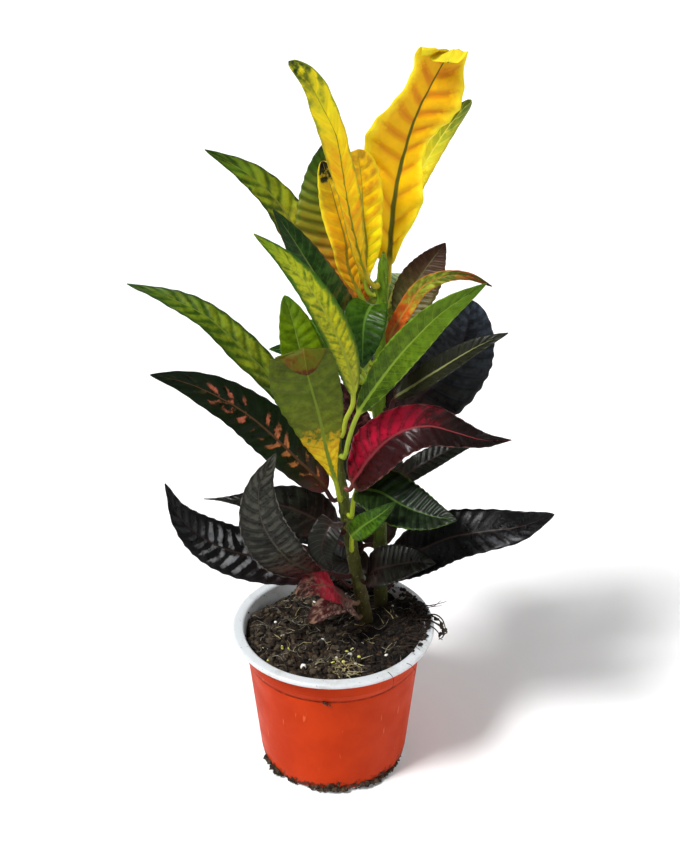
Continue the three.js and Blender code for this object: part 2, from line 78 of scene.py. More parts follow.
def wire(tree, kind, values=None, **settings):
    """Adds a node to a material, with its settings, and fills or links its inputs."""
    added = tree.nodes.new("ShaderNode" + kind)
    for key, value in settings.items():
        setattr(added, key, value)
    for key, value in (values or {}).items():
        if isinstance(value, bpy.types.NodeSocket):
            tree.links.new(value, added.inputs[key])
        else:
            added.inputs[key].default_value = value
    return added


def calc(tree, how, first, second=0.0):
    return wire(tree, "Math", {0: first, 1: second}, operation=how).outputs[0]


def plus(tree, first, second):
    return calc(tree, "ADD", first, second)


def times(tree, first, second):
    return calc(tree, "MULTIPLY", first, second)


def fade(tree, value, start, end, low=0.0, high=1.0):
    """Goes softly from low to high while the value goes from start to end."""
    return wire(tree, "MapRange", {"Value": value, "From Min": start, "From Max": end, "To Min": low,
                                   "To Max": high}, interpolation_type="SMOOTHSTEP").outputs[0]


def blend(tree, share, under, over, how="MIX"):
    return wire(tree, "Mix", {0: share, 6: under, 7: over}, data_type="RGBA", blend_type=how).outputs[2]


def speckle(tree, where, scale, detail=4.0, rough=0.55):
    return wire(tree, "TexNoise", {"Vector": where, "Scale": scale, "Detail": detail,
                                   "Roughness": rough}).outputs["Fac"]


def new_skin(name, roughness, **sockets):
    """A material with its shader's fixed values set. Gives the material, its nodes and the shader."""
    material = bpy.data.materials.new(name)
    material.use_nodes = True
    tree = material.node_tree
    shader = tree.nodes["Principled BSDF"]
    shader.inputs["Roughness"].default_value = roughness
    for key, value in sockets.items():
        shader.inputs[key.replace("_", " ")].default_value = value
    return material, tree, shader


def clad(tree, shader, tint, height, strength, depth):
    """Gives a skin its colour and its fine relief, depth in metres."""
    tree.links.new(tint, shader.inputs["Base Color"])
    bump = wire(tree, "Bump", {"Height": height, "Strength": strength, "Distance": depth})
    tree.links.new(bump.outputs[0], shader.inputs["Normal"])


def set_down(bm, name, skins, stands_for=None, crease=180):
    """Makes a finished shape one piece of the plant, in place of a CAD node where it stands for one."""
    mesh = bpy.data.meshes.new(name)
    bm.to_mesh(mesh)
    bm.free()
    mesh.shade_smooth()
    if crease < 180:
        mesh.set_sharp_from_angle(angle=math.radians(crease))
    for skin in skins:
        mesh.materials.append(skin)
    piece = bpy.data.objects.new(name, mesh)
    bpy.context.scene.collection.objects.link(piece)
    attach(piece, "root")
    if stands_for:
        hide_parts(stands_for)
    return piece


def round_pot(angle, far, height):
    """A place at an angle round the middle of the pot, so far out and so high."""
    return Vector((far * math.cos(angle), far * math.sin(angle), height))


def arc(centre, radius, start, end, steps):
    """Points of a rounding in a profile of radius and height, angles in degrees."""
    turns = [math.radians(start + (end - start) * k / steps) for k in range(steps + 1)]
    return [(centre[0] + radius * math.cos(a), centre[1] + radius * math.sin(a)) for a in turns]


def turn_profile(profile, sides):
    """A shape turned about +Z from its half section, given from the bottom outwards."""
    bm = bmesh.new()
    rim = [bm.verts.new((r * MM, 0, z * MM)) for r, z in profile]
    line = [bm.edges.new(pair) for pair in zip(rim, rim[1:])]
    bmesh.ops.spin(bm, geom=rim + line, axis=(0, 0, 1), cent=(0, 0, 0), steps=sides, angle=2 * math.pi,
                   use_merge=True)
    bmesh.ops.remove_doubles(bm, verts=bm.verts, dist=1e-6)
    bmesh.ops.recalc_face_normals(bm, faces=bm.faces)
    return bm


def terracotta_skin():
    material, tree, shader = new_skin("pot_terracotta", 0.55, Specular_IOR_Level=0.06)
    spot = wire(tree, "TexCoord").outputs["Object"]
    height = wire(tree, "SeparateXYZ", {0: spot}).outputs["Z"]
    cloud = speckle(tree, spot, 45, 5)
    tint = blend(tree, fade(tree, cloud, 0.3, 0.7), paint(TERRACOTTA), paint(TERRACOTTA_DEEP))
    # scuffs: thin pale lines that run round and down the wall
    drawn = wire(tree, "Mapping", {"Vector": spot, "Rotation": (0.5, 0.3, 0.8), "Scale": (1, 1, 0.16)})
    scuff = fade(tree, speckle(tree, drawn.outputs[0], 420, 2, 0.4), 0.7, 0.76)
    tint = blend(tree, times(tree, scuff, 0.35), tint, paint(SCUFF_PALE))
    # soil splashed up from the bench and rubbed round the foot, and a painted shadow of the lip in dark brown
    # specks just below it
    low = fade(tree, height, 0.016, 0.0)
    high = fade(tree, height, 0.078, 0.09)
    grain = speckle(tree, spot, 260, 6, 0.7)
    foot = fade(tree, plus(tree, grain, times(tree, low, 0.32)), 0.66, 0.76)
    # painted shadow below the lip: specks that grow thicker towards it
    painted_lip_shadow = fade(tree, plus(tree, grain, times(tree, high, 0.08)), 0.68, 0.76)
    tint = blend(tree, times(tree, calc(tree, "MAXIMUM", foot, painted_lip_shadow), 0.85), tint, paint(SOIL_AND_SHADE_BROWN))
    # painted shade in the two creases of the shoulder, broken up by the grain
    for crease, width, show in ((0.0744, 0.0008, 0.75), (0.0792, 0.0004, 0.3)):
        near = fade(tree, calc(tree, "ABSOLUTE", calc(tree, "SUBTRACT", height, crease)), width, width * 0.3)
        broken = times(tree, near, fade(tree, grain, 0.35, 0.6, 0.35, 1.0))
        tint = blend(tree, times(tree, broken, show), tint, paint(PAINTED_CREASE_SHADE))
    tree.links.new(fade(tree, cloud, 0.3, 0.7, 0.36, 0.52), shader.inputs["Roughness"])
    clad(tree, shader, tint, plus(tree, speckle(tree, spot, 900, 2), times(tree, cloud, 1.5)), 0.25, 0.0003)
    return material


def lip_skin():
    material, tree, shader = new_skin("pot_white", 0.38, Subsurface_Weight=0.1, Subsurface_Scale=0.002)
    spot = wire(tree, "TexCoord").outputs["Object"]
    smear = fade(tree, speckle(tree, spot, 90, 6, 0.65), 0.5, 0.72)
    tint = blend(tree, times(tree, smear, 0.45), paint(LIP_WHITE), paint(LIP_SMEAR))
    grit = fade(tree, speckle(tree, spot, 620, 3, 0.6), 0.66, 0.72)
    tint = blend(tree, times(tree, grit, 0.7), tint, paint(SOIL_AND_SHADE_BROWN))
    clad(tree, shader, tint, smear, 0.15, 0.0002)
    return material


def wall_radius(z):
    return FOOT_RADIUS + WALL_TAPER * z + (SHOULDER_STEP if z > SHOULDER_HEIGHT else 0)


roll = LIP_THICK / 2
lip_foot = POT_HEIGHT - LIP_THICK
outer_line = [(0, 0), (12, 0), (24, 0), (34, 0)]
outer_line += arc((FOOT_RADIUS - FOOT_ROUND, FOOT_ROUND), FOOT_ROUND, -90, -6, 8)
outer_line += [(wall_radius(z), z) for z in range(8, SHOULDER_HEIGHT - 2, 5)]
# the shoulder: a shallow swelling, a crease and a step, and the plain band above it
outer_line += [(wall_radius(74) + 0.35, 74), (wall_radius(75) + 0.1, 74.9), (wall_radius(75) + 0.3, 75.6),
               (wall_radius(76) + 0.1, 76.4)] + [(wall_radius(z), z) for z in (80, 84, 88.4)]
outer_line += [(wall_radius(lip_foot) + 0.8, lip_foot)]
inner_line = [(LIP_RADIUS - roll, lip_foot)] + arc((LIP_RADIUS - roll, lip_foot + roll), roll, -70, 90, 10)
inner_line += [(MOUTH_RADIUS + 1.6, POT_HEIGHT)]
inner_line += arc((MOUTH_RADIUS + 0.5, POT_HEIGHT - 2), 2, 110, 170, 5)
inner_line += [(wall_radius(lip_foot) - WALL, lip_foot), (wall_radius(78) - 2.1, 78),
               (wall_radius(FOOT_ROUND) - WALL, FOOT_ROUND)]
inner_line += arc((FOOT_RADIUS - FOOT_ROUND, FOOT_ROUND), FOOT_ROUND - WALL, -6, -90, 6)
inner_line += [(24, WALL), (0, WALL)]
pot = turn_profile(outer_line + inner_line, 144)
for face in pot.faces:
    middle = face.calc_center_median()
    reach = Vector((middle.x, middle.y)).length / MM
    height = middle.z / MM
    white = height > lip_foot + 0.1 or height > lip_foot - 0.05 and reach > wall_radius(lip_foot) + 0.4
    inner = wall_radius(height) - 0.6 if height > 77.5 else FOOT_RADIUS + WALL_TAPER * height - 0.6
    face.material_index = 1 if white or reach < inner and height > 0.5 else 0
# such thin pots are never quite round
for vert in pot.verts:
    swing = math.atan2(vert.co.y, vert.co.x)
    share = min(1, vert.co.z / MM / 60)
    grow = 1 + share * (0.003 * math.sin(2 * swing + 0.6) + 0.0015 * math.sin(5 * swing)) - 0.001
    vert.co.x *= grow
    vert.co.y *= grow
punch = bmesh.new()
for hole in range(DRAIN_HOLES):
    angle = 2 * math.pi * (hole + 0.5) / DRAIN_HOLES
    spot = Matrix.Translation(round_pot(angle, DRAIN_CIRCLE * MM, 0))
    bmesh.ops.create_cone(punch, cap_ends=True, segments=24, radius1=DRAIN_RADIUS * MM,
                          radius2=DRAIN_RADIUS * MM, depth=4 * WALL * MM, matrix=spot)
tool_mesh = bpy.data.meshes.new("drain_punch")
punch.to_mesh(tool_mesh)
punch.free()
tool = bpy.data.objects.new("drain_punch", tool_mesh)
bpy.context.scene.collection.objects.link(tool)
nursery_pot = set_down(pot, "nursery_pot", [terracotta_skin(), lip_skin()], "pot", crease=50)
cut = nursery_pot.modifiers.new("drain holes", "BOOLEAN")
cut.operation = "DIFFERENCE"
cut.object = tool
bpy.context.view_layer.update()
punched = bpy.data.meshes.new_from_object(nursery_pot.evaluated_get(bpy.context.evaluated_depsgraph_get()))
nursery_pot.modifiers.clear()
nursery_pot.data = punched
bpy.data.objects.remove(tool)

# Soil: peat with bark fines, filled by hand to just under the lip. It has sunk behind on the left and lies
# heaped against the lip on the right. Its crumbs, perlite and fibres are laid on it below.
SOIL_LEVEL = 87
SOIL_HEAP = 5.5
HEAP_AT = (50, 6)
HEAP_WIDE = 20
SOIL_HOLLOW = 4
HOLLOW_AT = (-34, 34)
HOLLOW_WIDE = 24
SOIL_LUMP = 0.9
SOIL_CLOD = 1.3
PEAT_BROWN = "#1f1810"
PEAT_BLACK = "#0e0a08"
PEAT_BARK = "#4a3826"
PEAT_WET = "#0c0906"


def soil_height(x, y):
    """Height of the soil at a place, all in millimetres."""
    heap = SOIL_HEAP * math.exp(-((x - HEAP_AT[0]) ** 2 + (y - HEAP_AT[1]) ** 2) / HEAP_WIDE ** 2)
    hollow = SOIL_HOLLOW * math.exp(-((x - HOLLOW_AT[0]) ** 2 + (y - HOLLOW_AT[1]) ** 2) / HOLLOW_WIDE ** 2)
    lumps = math.sin(0.31 * x + 1.3) * math.cos(0.27 * y) + math.sin(0.17 * x - 0.23 * y)
    clods = noise.fractal(Vector((x, y, 3)) * 0.16, 0.9, 2.1, 5)
    return SOIL_LEVEL + heap - hollow + SOIL_LUMP * lumps + SOIL_CLOD * clods


def peat_skin():
    material, tree, shader = new_skin("peat", 0.92, Specular_IOR_Level=0.25)
    spot = wire(tree, "TexCoord").outputs["Object"]
    across = wire(tree, "SeparateXYZ", {0: spot}).outputs["X"]
    cells = wire(tree, "TexVoronoi", {"Vector": spot, "Scale": 520, "Randomness": 1.0})
    tone = wire(tree, "SeparateColor", {0: cells.outputs["Color"]}).outputs[0]
    dark = fade(tree, plus(tree, across, times(tree, tone, 0.03)), -0.005, 0.045)
    tint = blend(tree, dark, paint(PEAT_BROWN), paint(PEAT_BLACK))
    tint = blend(tree, fade(tree, tone, 0.55, 0.95), tint, paint(PEAT_BARK))
    tint = blend(tree, fade(tree, speckle(tree, spot, 160, 5), 0.5, 0.62), tint, paint(PEAT_WET))
    relief = calc(tree, "SUBTRACT", speckle(tree, spot, 700, 6, 0.7), cells.outputs["Distance"])
    clad(tree, shader, tint, relief, 0.9, 0.0012)
    return material


soil_wall = wall_radius(SOIL_LEVEL) - WALL - 0.9
soil_section = [(0, 1.3), (FOOT_RADIUS - FOOT_ROUND, 1.3), (FOOT_RADIUS - 1, 5),
                (FOOT_RADIUS + WALL_TAPER * 73 - WALL - 0.3, 73), (soil_wall, SOIL_LEVEL - 6)]
soil_section += [(soil_wall * (1 - k / 90), SOIL_LEVEL) for k in range(0, 91)]
soil = turn_profile(soil_section, 220)
for vert in soil.verts:
    if vert.co.z / MM > SOIL_LEVEL - 0.1:
        vert.co.z = soil_height(vert.co.x / MM, vert.co.y / MM) * MM
set_down(soil, "potting_soil", [peat_skin()], "soil")

# Crumbs, bark and perlite on the soil: bits of peat and bark fines everywhere, browner on the left, white
# grains of perlite and small yellow-green bits. All lie loose on the surface, some on the lip at the right.
STEM_FEET = ((29, 25), (20, 9.5))
STEM_ROOM = 7
random.seed(7)


def plain_skin(name, code, second, roughness, grain=600):
    """A dull natural finish in two mixed tones."""
    material, tree, shader = new_skin(name, roughness, Specular_IOR_Level=0.3)
    spot = wire(tree, "TexCoord").outputs["Object"]
    mixed = speckle(tree, spot, grain, 5, 0.65)
    patch = wire(tree, "TexVoronoi", {"Vector": spot, "Scale": grain * 0.55})
    tone = wire(tree, "SeparateColor", {0: patch.outputs["Color"]}).outputs[0]
    share = fade(tree, plus(tree, mixed, times(tree, tone, 0.4)), 0.45, 0.95)
    clad(tree, shader, blend(tree, share, paint(code), paint(second)), mixed, 0.7, 0.0004)
    return material


def on_soil(reach=50, left=False):
    """A random place on the soil, clear of the stems, in millimetres."""
    while True:
        far = reach * math.sqrt(random.random())
        angle = random.uniform(0, 2 * math.pi)
        x, y = far * math.cos(angle), far * math.sin(angle)
        if left and x > random.uniform(-15, 25):
            continue
        if min(math.hypot(x - across, y - deep) for across, deep in STEM_FEET) > STEM_ROOM:
            return Vector((x, y, soil_height(x, y)))


def add_crumb(bm, place, size, flat=1.0, detail=1, ragged=0.35):
    """One lump at a place, size in millimetres: a ball pushed out of round."""
    ball = bmesh.ops.create_icosphere(bm, subdivisions=detail, radius=1)
    swing = random.uniform(0, 6.3)
    turn = Matrix.Rotation(swing, 3, Vector((random.random(), random.random(), 1)).normalized())
    stretch = Vector((random.uniform(0.8, 1.5), random.uniform(0.7, 1.1), flat * random.uniform(0.7, 1.0)))
    key = Vector((random.random(), random.random(), random.random())) * 50
    for vert in ball["verts"]:
        swell = 1 + ragged * noise.noise(vert.co * 1.6 + key)
        vert.co = turn @ (vert.co * swell * stretch) * size * MM + place * MM


peat_crumbs = bmesh.new()
for _ in range(900):
    size = random.choice((0.5, 0.7, 0.9, 1.2, 1.7))
    add_crumb(peat_crumbs, on_soil(51) + Vector((0, 0, size * 0.3)), size, detail=2 if size > 1 else 1)
for _ in range(230):
    angle = random.gauss(0.1, 0.28)
    far = random.uniform(49, 58.6 - 6 * abs(angle - 0.1))
    spill = 1.6 * math.exp(-((angle - 0.1) / 0.25) ** 2) * random.random()
    add_crumb(peat_crumbs, round_pot(angle, far, POT_HEIGHT + 0.2 + spill), random.uniform(0.4, 1.4),
              detail=2 if random.random() < 0.4 else 1)
for _ in range(34):
    angle, far = random.uniform(0.8, 5.8), random.uniform(52.5, 54.5)
    add_crumb(peat_crumbs, round_pot(angle, far, 90.5), random.uniform(0.5, 1.1))
set_down(peat_crumbs, "peat_crumbs", [plain_skin("peat_crumb", "#0e0a07", "#281e14", 0.9)])

bark = bmesh.new()
for _ in range(420):
    size = random.choice((0.9, 1.2, 1.6, 2.1))
    add_crumb(bark, on_soil(50, left=True) + Vector((0, 0, size * 0.35)), size, 0.7, 2, 0.5)
set_down(bark, "bark_fines", [plain_skin("bark_fine", "#241c15", "#4e4232", 0.85, 500)])

for name, skin, flat, ragged, bits in [
        ("perlite", plain_skin("perlite", "#f2f0e8", "#c9c6ba", 0.8, 900), 0.9, 0.35,
         [(-17, -35, 1.9), (-6, -12, 1.0), (10, -24, 1.1), (2, -29, 1.0), (-30, -6, 1.1), (13, -33, 0.9),
          (-20, -12, 0.8), (6, -38, 0.9), (31, -22, 0.9), (-38, -18, 0.8), (17, -12, 0.8),
          (-12, 30, 1.2), (8, 38, 1.0), (-35, 12, 0.9), (36, 20, 0.8), (-2, 20, 0.9)]),
        ("seed_husks", plain_skin("husk", "#b9c03a", "#e6e29a", 0.6, 400), 0.6, 0.5,
         [(-30, -17, 1.6), (-37, -31, 1.5), (8, -21, 1.2), (11, -19, 1.1), (3, -26, 1.2), (0, -31, 1.0),
          (15, -27, 1.0), (-26, -20, 1.0), (6, -32, 1.1), (-10, 26, 1.1), (20, -34, 0.9)])]:
    heap = bmesh.new()
    for x, y, size in bits:
        add_crumb(heap, Vector((x, y, soil_height(x, y) + size * 0.6)), size, flat, 2, ragged)
    set_down(heap, name, [skin])

# Soil stuck to the outside: clods round the foot, where wet peat has come through the drain holes, and one
# small nub on the shoulder at the front.
clods = bmesh.new()
for middle, spread_out, count, big in [(-2.5, 0.1, 26, 2.0), (-2.2, 0.06, 12, 1.4), (-1.75, 0.12, 30, 1.5),
                                       (-1.5, 0.1, 26, 1.8), (-1.15, 0.08, 26, 2.1), (-0.85, 0.1, 22, 1.5),
                                       (-0.5, 0.12, 16, 1.3), (0.9, 0.15, 16, 1.5), (2.3, 0.2, 18, 1.6)]:
    for _ in range(count):
        angle = random.gauss(middle, spread_out)
        size = random.uniform(0.4, 1) ** 2 * big
        z = abs(random.gauss(0, 1.6)) + size * 1.45
        far = FOOT_RADIUS - FOOT_ROUND + math.sqrt(max(0, 16 - (4 - min(z, 4)) ** 2)) + 0.3 * size
        add_crumb(clods, round_pot(angle, far, z), size, detail=2, ragged=0.7)
for shift in (0, 1.2, 2.2):
    add_crumb(clods, Vector((-5 + shift * 1.5, -52.2, 74.6 - shift * 0.8)), 1.1 - 0.2 * shift, detail=2)
set_down(clods, "stuck_clods", [plain_skin("clod", "#1e1610", "#483828", 0.9)])

# Fibres and roots: dry straw in the peat at the front, and fine dark roots that hang over the lip at the
# right, where the heap has slipped. They lie loose, held by the soil at one end.


def rib_line(points, places):
    """Points and directions of a smooth line through the given points, at shares of its length."""
    given = np.array(points, float)
    ends = np.vstack([2 * given[0] - given[1], given, 2 * given[-1] - given[-2]])

    def at(t):
        spot = np.clip(t, 0, 1) * (len(given) - 1)
        k = np.minimum(spot.astype(int), len(given) - 2)
        w = (spot - k)[:, None]
        a, b, c, d = ends[k], ends[k + 1], ends[k + 2], ends[k + 3]
        start, end = (c - a) / 2, (d - b) / 2
        point = ((2 * b - 2 * c + start + end) * w ** 3 + (-3 * b + 3 * c - 2 * start - end) * w ** 2
                 + start * w + b)
        way = ((6 * b - 6 * c + 3 * start + 3 * end) * w ** 2 + (-6 * b + 6 * c - 4 * start - 2 * end) * w
               + start)
        return point, way

    marks = np.linspace(0, 1, 201)
    chain = at(marks)[0]
    run = np.concatenate([[0], np.cumsum(np.linalg.norm(np.diff(chain, axis=0), axis=1))])
    point, way = at(np.interp(np.array(places) * run[-1], run, marks))
    return point, way / np.linalg.norm(way, axis=1, keepdims=True), run[-1]


def wrapped_grid(along, around):
    """A flat grid whose long edges will meet. Gives it with each vertex's row and place round the ring."""
    bm = bmesh.new()
    bmesh.ops.create_grid(bm, x_segments=along, y_segments=around, size=0.5)
    rows = [(round((v.co.x + 0.5) * along), round((v.co.y + 0.5) * around)) for v in bm.verts]
    return bm, np.array(rows)


def close_tube(bm, places):
    """Moves the grid's vertices to their places, in millimetres, joins the seam and fills both ends."""
    for vert, place in zip(bm.verts, places * MM):
        vert.co = place
    bmesh.ops.remove_doubles(bm, verts=bm.verts, dist=2e-6)
    bmesh.ops.holes_fill(bm, edges=[e for e in bm.edges if e.is_boundary], sides=0)
    bmesh.ops.recalc_face_normals(bm, faces=bm.faces)


def add_strand(bm, points, thick, tip=0.3, steps=14, sides=6):
    """One root, straw or fibre as a thin tube through points, in millimetres."""
    strand, rows = wrapped_grid(steps, sides)
    line, way, _ = rib_line(points, np.linspace(0, 1, steps + 1))
    side = np.cross(way, (0.31, 0.2, 0.93))
    side /= np.linalg.norm(side, axis=1, keepdims=True)
    lift = np.cross(side, way)
    turn = rows[:, 1:] * 2 * np.pi / sides
    reach = thick * (1 - (1 - tip) * rows[:, :1] / steps)
    k = rows[:, 0]
    close_tube(strand, line[k] + reach * (np.cos(turn) * side[k] + np.sin(turn) * lift[k]))
    loose = bpy.data.meshes.new("strand")
    strand.to_mesh(loose)
    strand.free()
    bm.from_mesh(loose)
    bpy.data.meshes.remove(loose)


def lying_line(spot, half_length, wander, rise, shares=(-1, -0.4, 0.3, 1), rim=51, bow=0):
    """Points of a strand that lies across a spot on the soil, kept inside the lip, in millimetres."""
    swing = random.uniform(0, math.pi)
    half = Vector((math.cos(swing), math.sin(swing), 0)) * random.uniform(*half_length)
    bend = Vector((-half.y, half.x, 0)) * (random.uniform(-bow, bow) if bow else 0)
    line = []
    for share in shares:
        place = spot + half * share + bend * (1 - share * share)
        if place.xy.length > rim:
            place.xy = place.xy.normalized() * rim
        x, y = (part + (random.uniform(-wander, wander) if wander else 0) for part in place.xy)
        line.append((x, y, soil_height(place.x, place.y) + random.uniform(*rise)))
    return line


straw = bmesh.new()
for _ in range(74):
    spot = on_soil(47)
    if random.random() < 0.45:
        spot = Vector((random.uniform(0, 18), random.uniform(-44, -30), 0))
    line = lying_line(spot, (2, 6), 0.6, (0.6, 1.8), (-1, -0.3, 0.4, 1), 50)
    add_strand(straw, line, random.uniform(0.16, 0.32))
set_down(straw, "straw_fibres", [plain_skin("straw", "#8a7a4e", "#c9bf92", 0.7, 300)])

roots = bmesh.new()
for line, thick in [
        ([(46, 6, 93), (54, 5, 95), (60, 3, 95), (64, 2, 92), (65, 2, 87)], 0.8),
        ([(48, 2, 93), (56, 0, 95), (62, -2, 93), (66, -3, 89), (65, -4, 85), (63, -3, 83)], 0.7),
        ([(47, 10, 93), (55, 12, 96), (62, 13, 97), (68, 13, 99)], 0.4),
        ([(48, 8, 94), (55, 9, 97), (61, 8, 99), (65, 10, 98)], 0.35),
        ([(50, -4, 93), (57, -6, 95), (62, -7, 91), (63, -6, 86), (65, -5, 84)], 0.55),
        ([(49, 14, 92), (56, 16, 94), (61, 17, 93), (65, 18, 96)], 0.35),
        ([(52, 3, 94), (60, 4, 96), (65, 3, 93), (67, 1, 88), (68, 0, 85)], 0.6),
        ([(62, 0, 92), (66, -1, 89), (68, 0, 86), (66, 1, 83)], 0.55),
        ([(30, -44, 91), (32, -50, 94), (34, -52, 92), (34, -51, 86), (32, -50, 82)], 0.25),
        ([(40, -36, 91), (44, -42, 94), (47, -43, 90), (46, -41, 85)], 0.2),
        ([(28, -40, 92), (24, -43, 93), (20, -47, 93), (16, -50, 94)], 0.22)]:
    add_strand(roots, line, thick, 0.4, 20)
for _ in range(110):
    line = lying_line(on_soil(48), (3, 8), 1, (0.5, 2.6))
    add_strand(roots, line, random.uniform(0.14, 0.36), 0.4, 10)
for _ in range(26):
    angle = random.uniform(-0.6, 0.8)
    start = Vector((math.cos(angle), math.sin(angle), 0))
    line = [tuple(start * far + Vector((random.uniform(-2, 2), random.uniform(-2, 2), z)))
            for far, z in ((44, 91.5), (48, 94.5), (53, 95 + random.uniform(-1, 1.5)), (57, 94.5))]
    add_strand(roots, line, random.uniform(0.15, 0.3), 0.4, 12)
for x, y, z, size in [(61, 2, 94.2, 1.3), (62.5, 3, 93, 1.1), (64.5, 2, 90.5, 1.2), (65, 1.8, 88, 1.4),
                      (64, -3, 87, 1.1), (65.5, -3, 89, 1.3), (67, 0.5, 87, 1.2), (66, 0.6, 84.5, 1.0),
                      (63, -6.4, 88, 0.9)]:
    add_crumb(roots, Vector((x, y, z)), size, detail=2, ragged=0.7)
set_down(roots, "loose_roots", [plain_skin("root", "#120c09", "#3a2c20", 0.85, 400)])

# Rootlets: pale hair-thin roots that were raked up with the peat, most of them on the left. They lie bowed
# on top of everything else.
rootlets = bmesh.new()
for _ in range(110):
    line = lying_line(on_soil(49, left=random.random() < 0.7), (2, 6), 0, (1, 3), bow=0.6)
    add_strand(rootlets, line, random.uniform(0.13, 0.24), 0.4, 10, 5)
set_down(rootlets, "fine_rootlets", [plain_skin("rootlet", "#5a5448", "#9c9684", 0.8, 300)])

# Stems: two cuttings rooted in the one pot, still green and smooth above and turning to brown bark below.
# Each leaf that has dropped has left a pale scar with a slight swelling.
TALL = dict(axis=[(30, 27, 42), (29, 25, 90), (27.5, 21.5, 150), (26, 17, 210), (26, 14.5, 270),
                  (27, 14, 322)], foot=4.4, top=2.9)
SHORT = dict(axis=[(23, 12, 42), (20, 9.5, 88), (13, 3, 130), (7, -3, 172), (2.5, -7, 208), (1, -8.5, 236)],
             foot=4.6, top=2.8)
STEM_SIDES = 28
BUD_LENGTH = 9
SCAR_SWELL = 0.45
SCAR_WIDE = 1.6
KNOTS = 0.3
BARK_CRACK = "#2c2413"
BARK_PORE = "#b9a878"


def stem_at(stem, height):
    """The middle of a stem at a height, and its radius there."""
    axis = np.array(stem["axis"], float)
    point = np.array([np.interp(height, axis[:, 2], axis[:, n]) for n in (0, 1)] + [height])
    rise = (height - axis[0, 2]) / (axis[-1, 2] - axis[0, 2])
    return point, stem["foot"] + (stem["top"] - stem["foot"]) * min(1, max(0, rise))


def bark_skin(name, young, old, up_to):
    material, tree, shader = new_skin(name, 0.6, Specular_IOR_Level=0.12)
    spot = wire(tree, "TexCoord").outputs["Object"]
    height = wire(tree, "SeparateXYZ", {0: spot}).outputs["Z"]
    drawn = wire(tree, "Mapping", {"Vector": spot, "Scale": (1, 1, 0.2)}).outputs[0]
    grain = speckle(tree, drawn, 900, 5, 0.6)
    cloud = speckle(tree, spot, 120, 4)
    age = fade(tree, plus(tree, height, times(tree, cloud, 0.12)), up_to, 0.12)
    tint = blend(tree, age, paint(young), paint(old))
    tint = blend(tree, fade(tree, grain, 0.45, 0.7, 0, 0.6), tint, paint(BARK_CRACK))
    pores = wire(tree, "TexVoronoi", {"Vector": spot, "Scale": 420}).outputs["Distance"]
    tint = blend(tree, fade(tree, pores, 0.16, 0.08, 0, 0.6), tint, paint(BARK_PORE))
    clad(tree, shader, tint, plus(tree, grain, pores), 0.5, 0.0005)
    return material


def grow_stem(name, stem, scars, skin):
    foot, top = stem["axis"][0][2], stem["axis"][-1][2]
    heights = np.arange(foot, top + 0.01, 1.0)
    bm, rows = wrapped_grid(len(heights) - 1, STEM_SIDES)
    middle = np.array([np.mean([stem_at(stem, min(top, max(foot, h + d)))[0] for d in (-6, -3, 0, 3, 6)],
                               axis=0) for h in heights])
    middle[:, 2] = heights
    radius = np.array([stem_at(stem, h)[1] for h in heights])
    bud = np.clip((top - heights) / BUD_LENGTH, 0, 1)
    radius = radius * (0.2 + 0.8 * bud ** 0.7)
    for scar in scars:
        radius = radius + SCAR_SWELL * np.exp(-((heights - scar) / SCAR_WIDE) ** 2)
    turn = 2 * np.pi * rows[:, 1] / STEM_SIDES
    knots = np.array([noise.noise(Vector((math.cos(a) * 2, math.sin(a) * 2, heights[k] * 0.22)))
                      for k, a in zip(rows[:, 0], turn)])
    reach = (radius[rows[:, 0]] + KNOTS * knots)[:, None]
    ring = np.stack([np.cos(turn), np.sin(turn), 0 * turn], axis=1)
    close_tube(bm, middle[rows[:, 0]] + reach * ring)
    set_down(bm, name, [skin], name)


grow_stem("stem_tall", TALL, (104, 112, 134, 152, 168, 182, 196, 212, 228, 246, 258, 268, 282, 292, 303),
          bark_skin("stem_tall_bark", "#62821a", "#2f2618", 0.34))
grow_stem("stem_short", SHORT, (94, 106, 118, 126, 137, 148, 160, 172, 184, 190, 212, 226),
          bark_skin("stem_short_bark", "#5c6828", "#3a2f1c", 0.31))

# Yellow leaves: the youngest, at the top. Each blade is one sheet from a round stalk, quilted between its
# side veins, with the rib standing out below. The tallest has its tip folded over towards the front.
STALK_RADIUS = 1.3
BLADE_THICK = 0.5
RIB_DEPTH = 0.8
KNUCKLE = 3.5
SUNK = 0.5
STALK_STEPS = 10
BLADE_STEPS = 112
COLUMNS = 32
STAGGER = 0.45
SCALLOP = 0.018
TOP_RIDGE = 0.22
RIDGE_WIDE = 0.75
CRUMPLE_GRAIN = 0.09
MOTTLE_BROWN = "#6c5c3c"
leaf_numbers = itertools.count(1)


def spread(pair, share):
    return pair[0] + (pair[1] - pair[0]) * share


def ease(value):
    value = np.clip(value, 0, 1)
    return value * value * (3 - 2 * value)


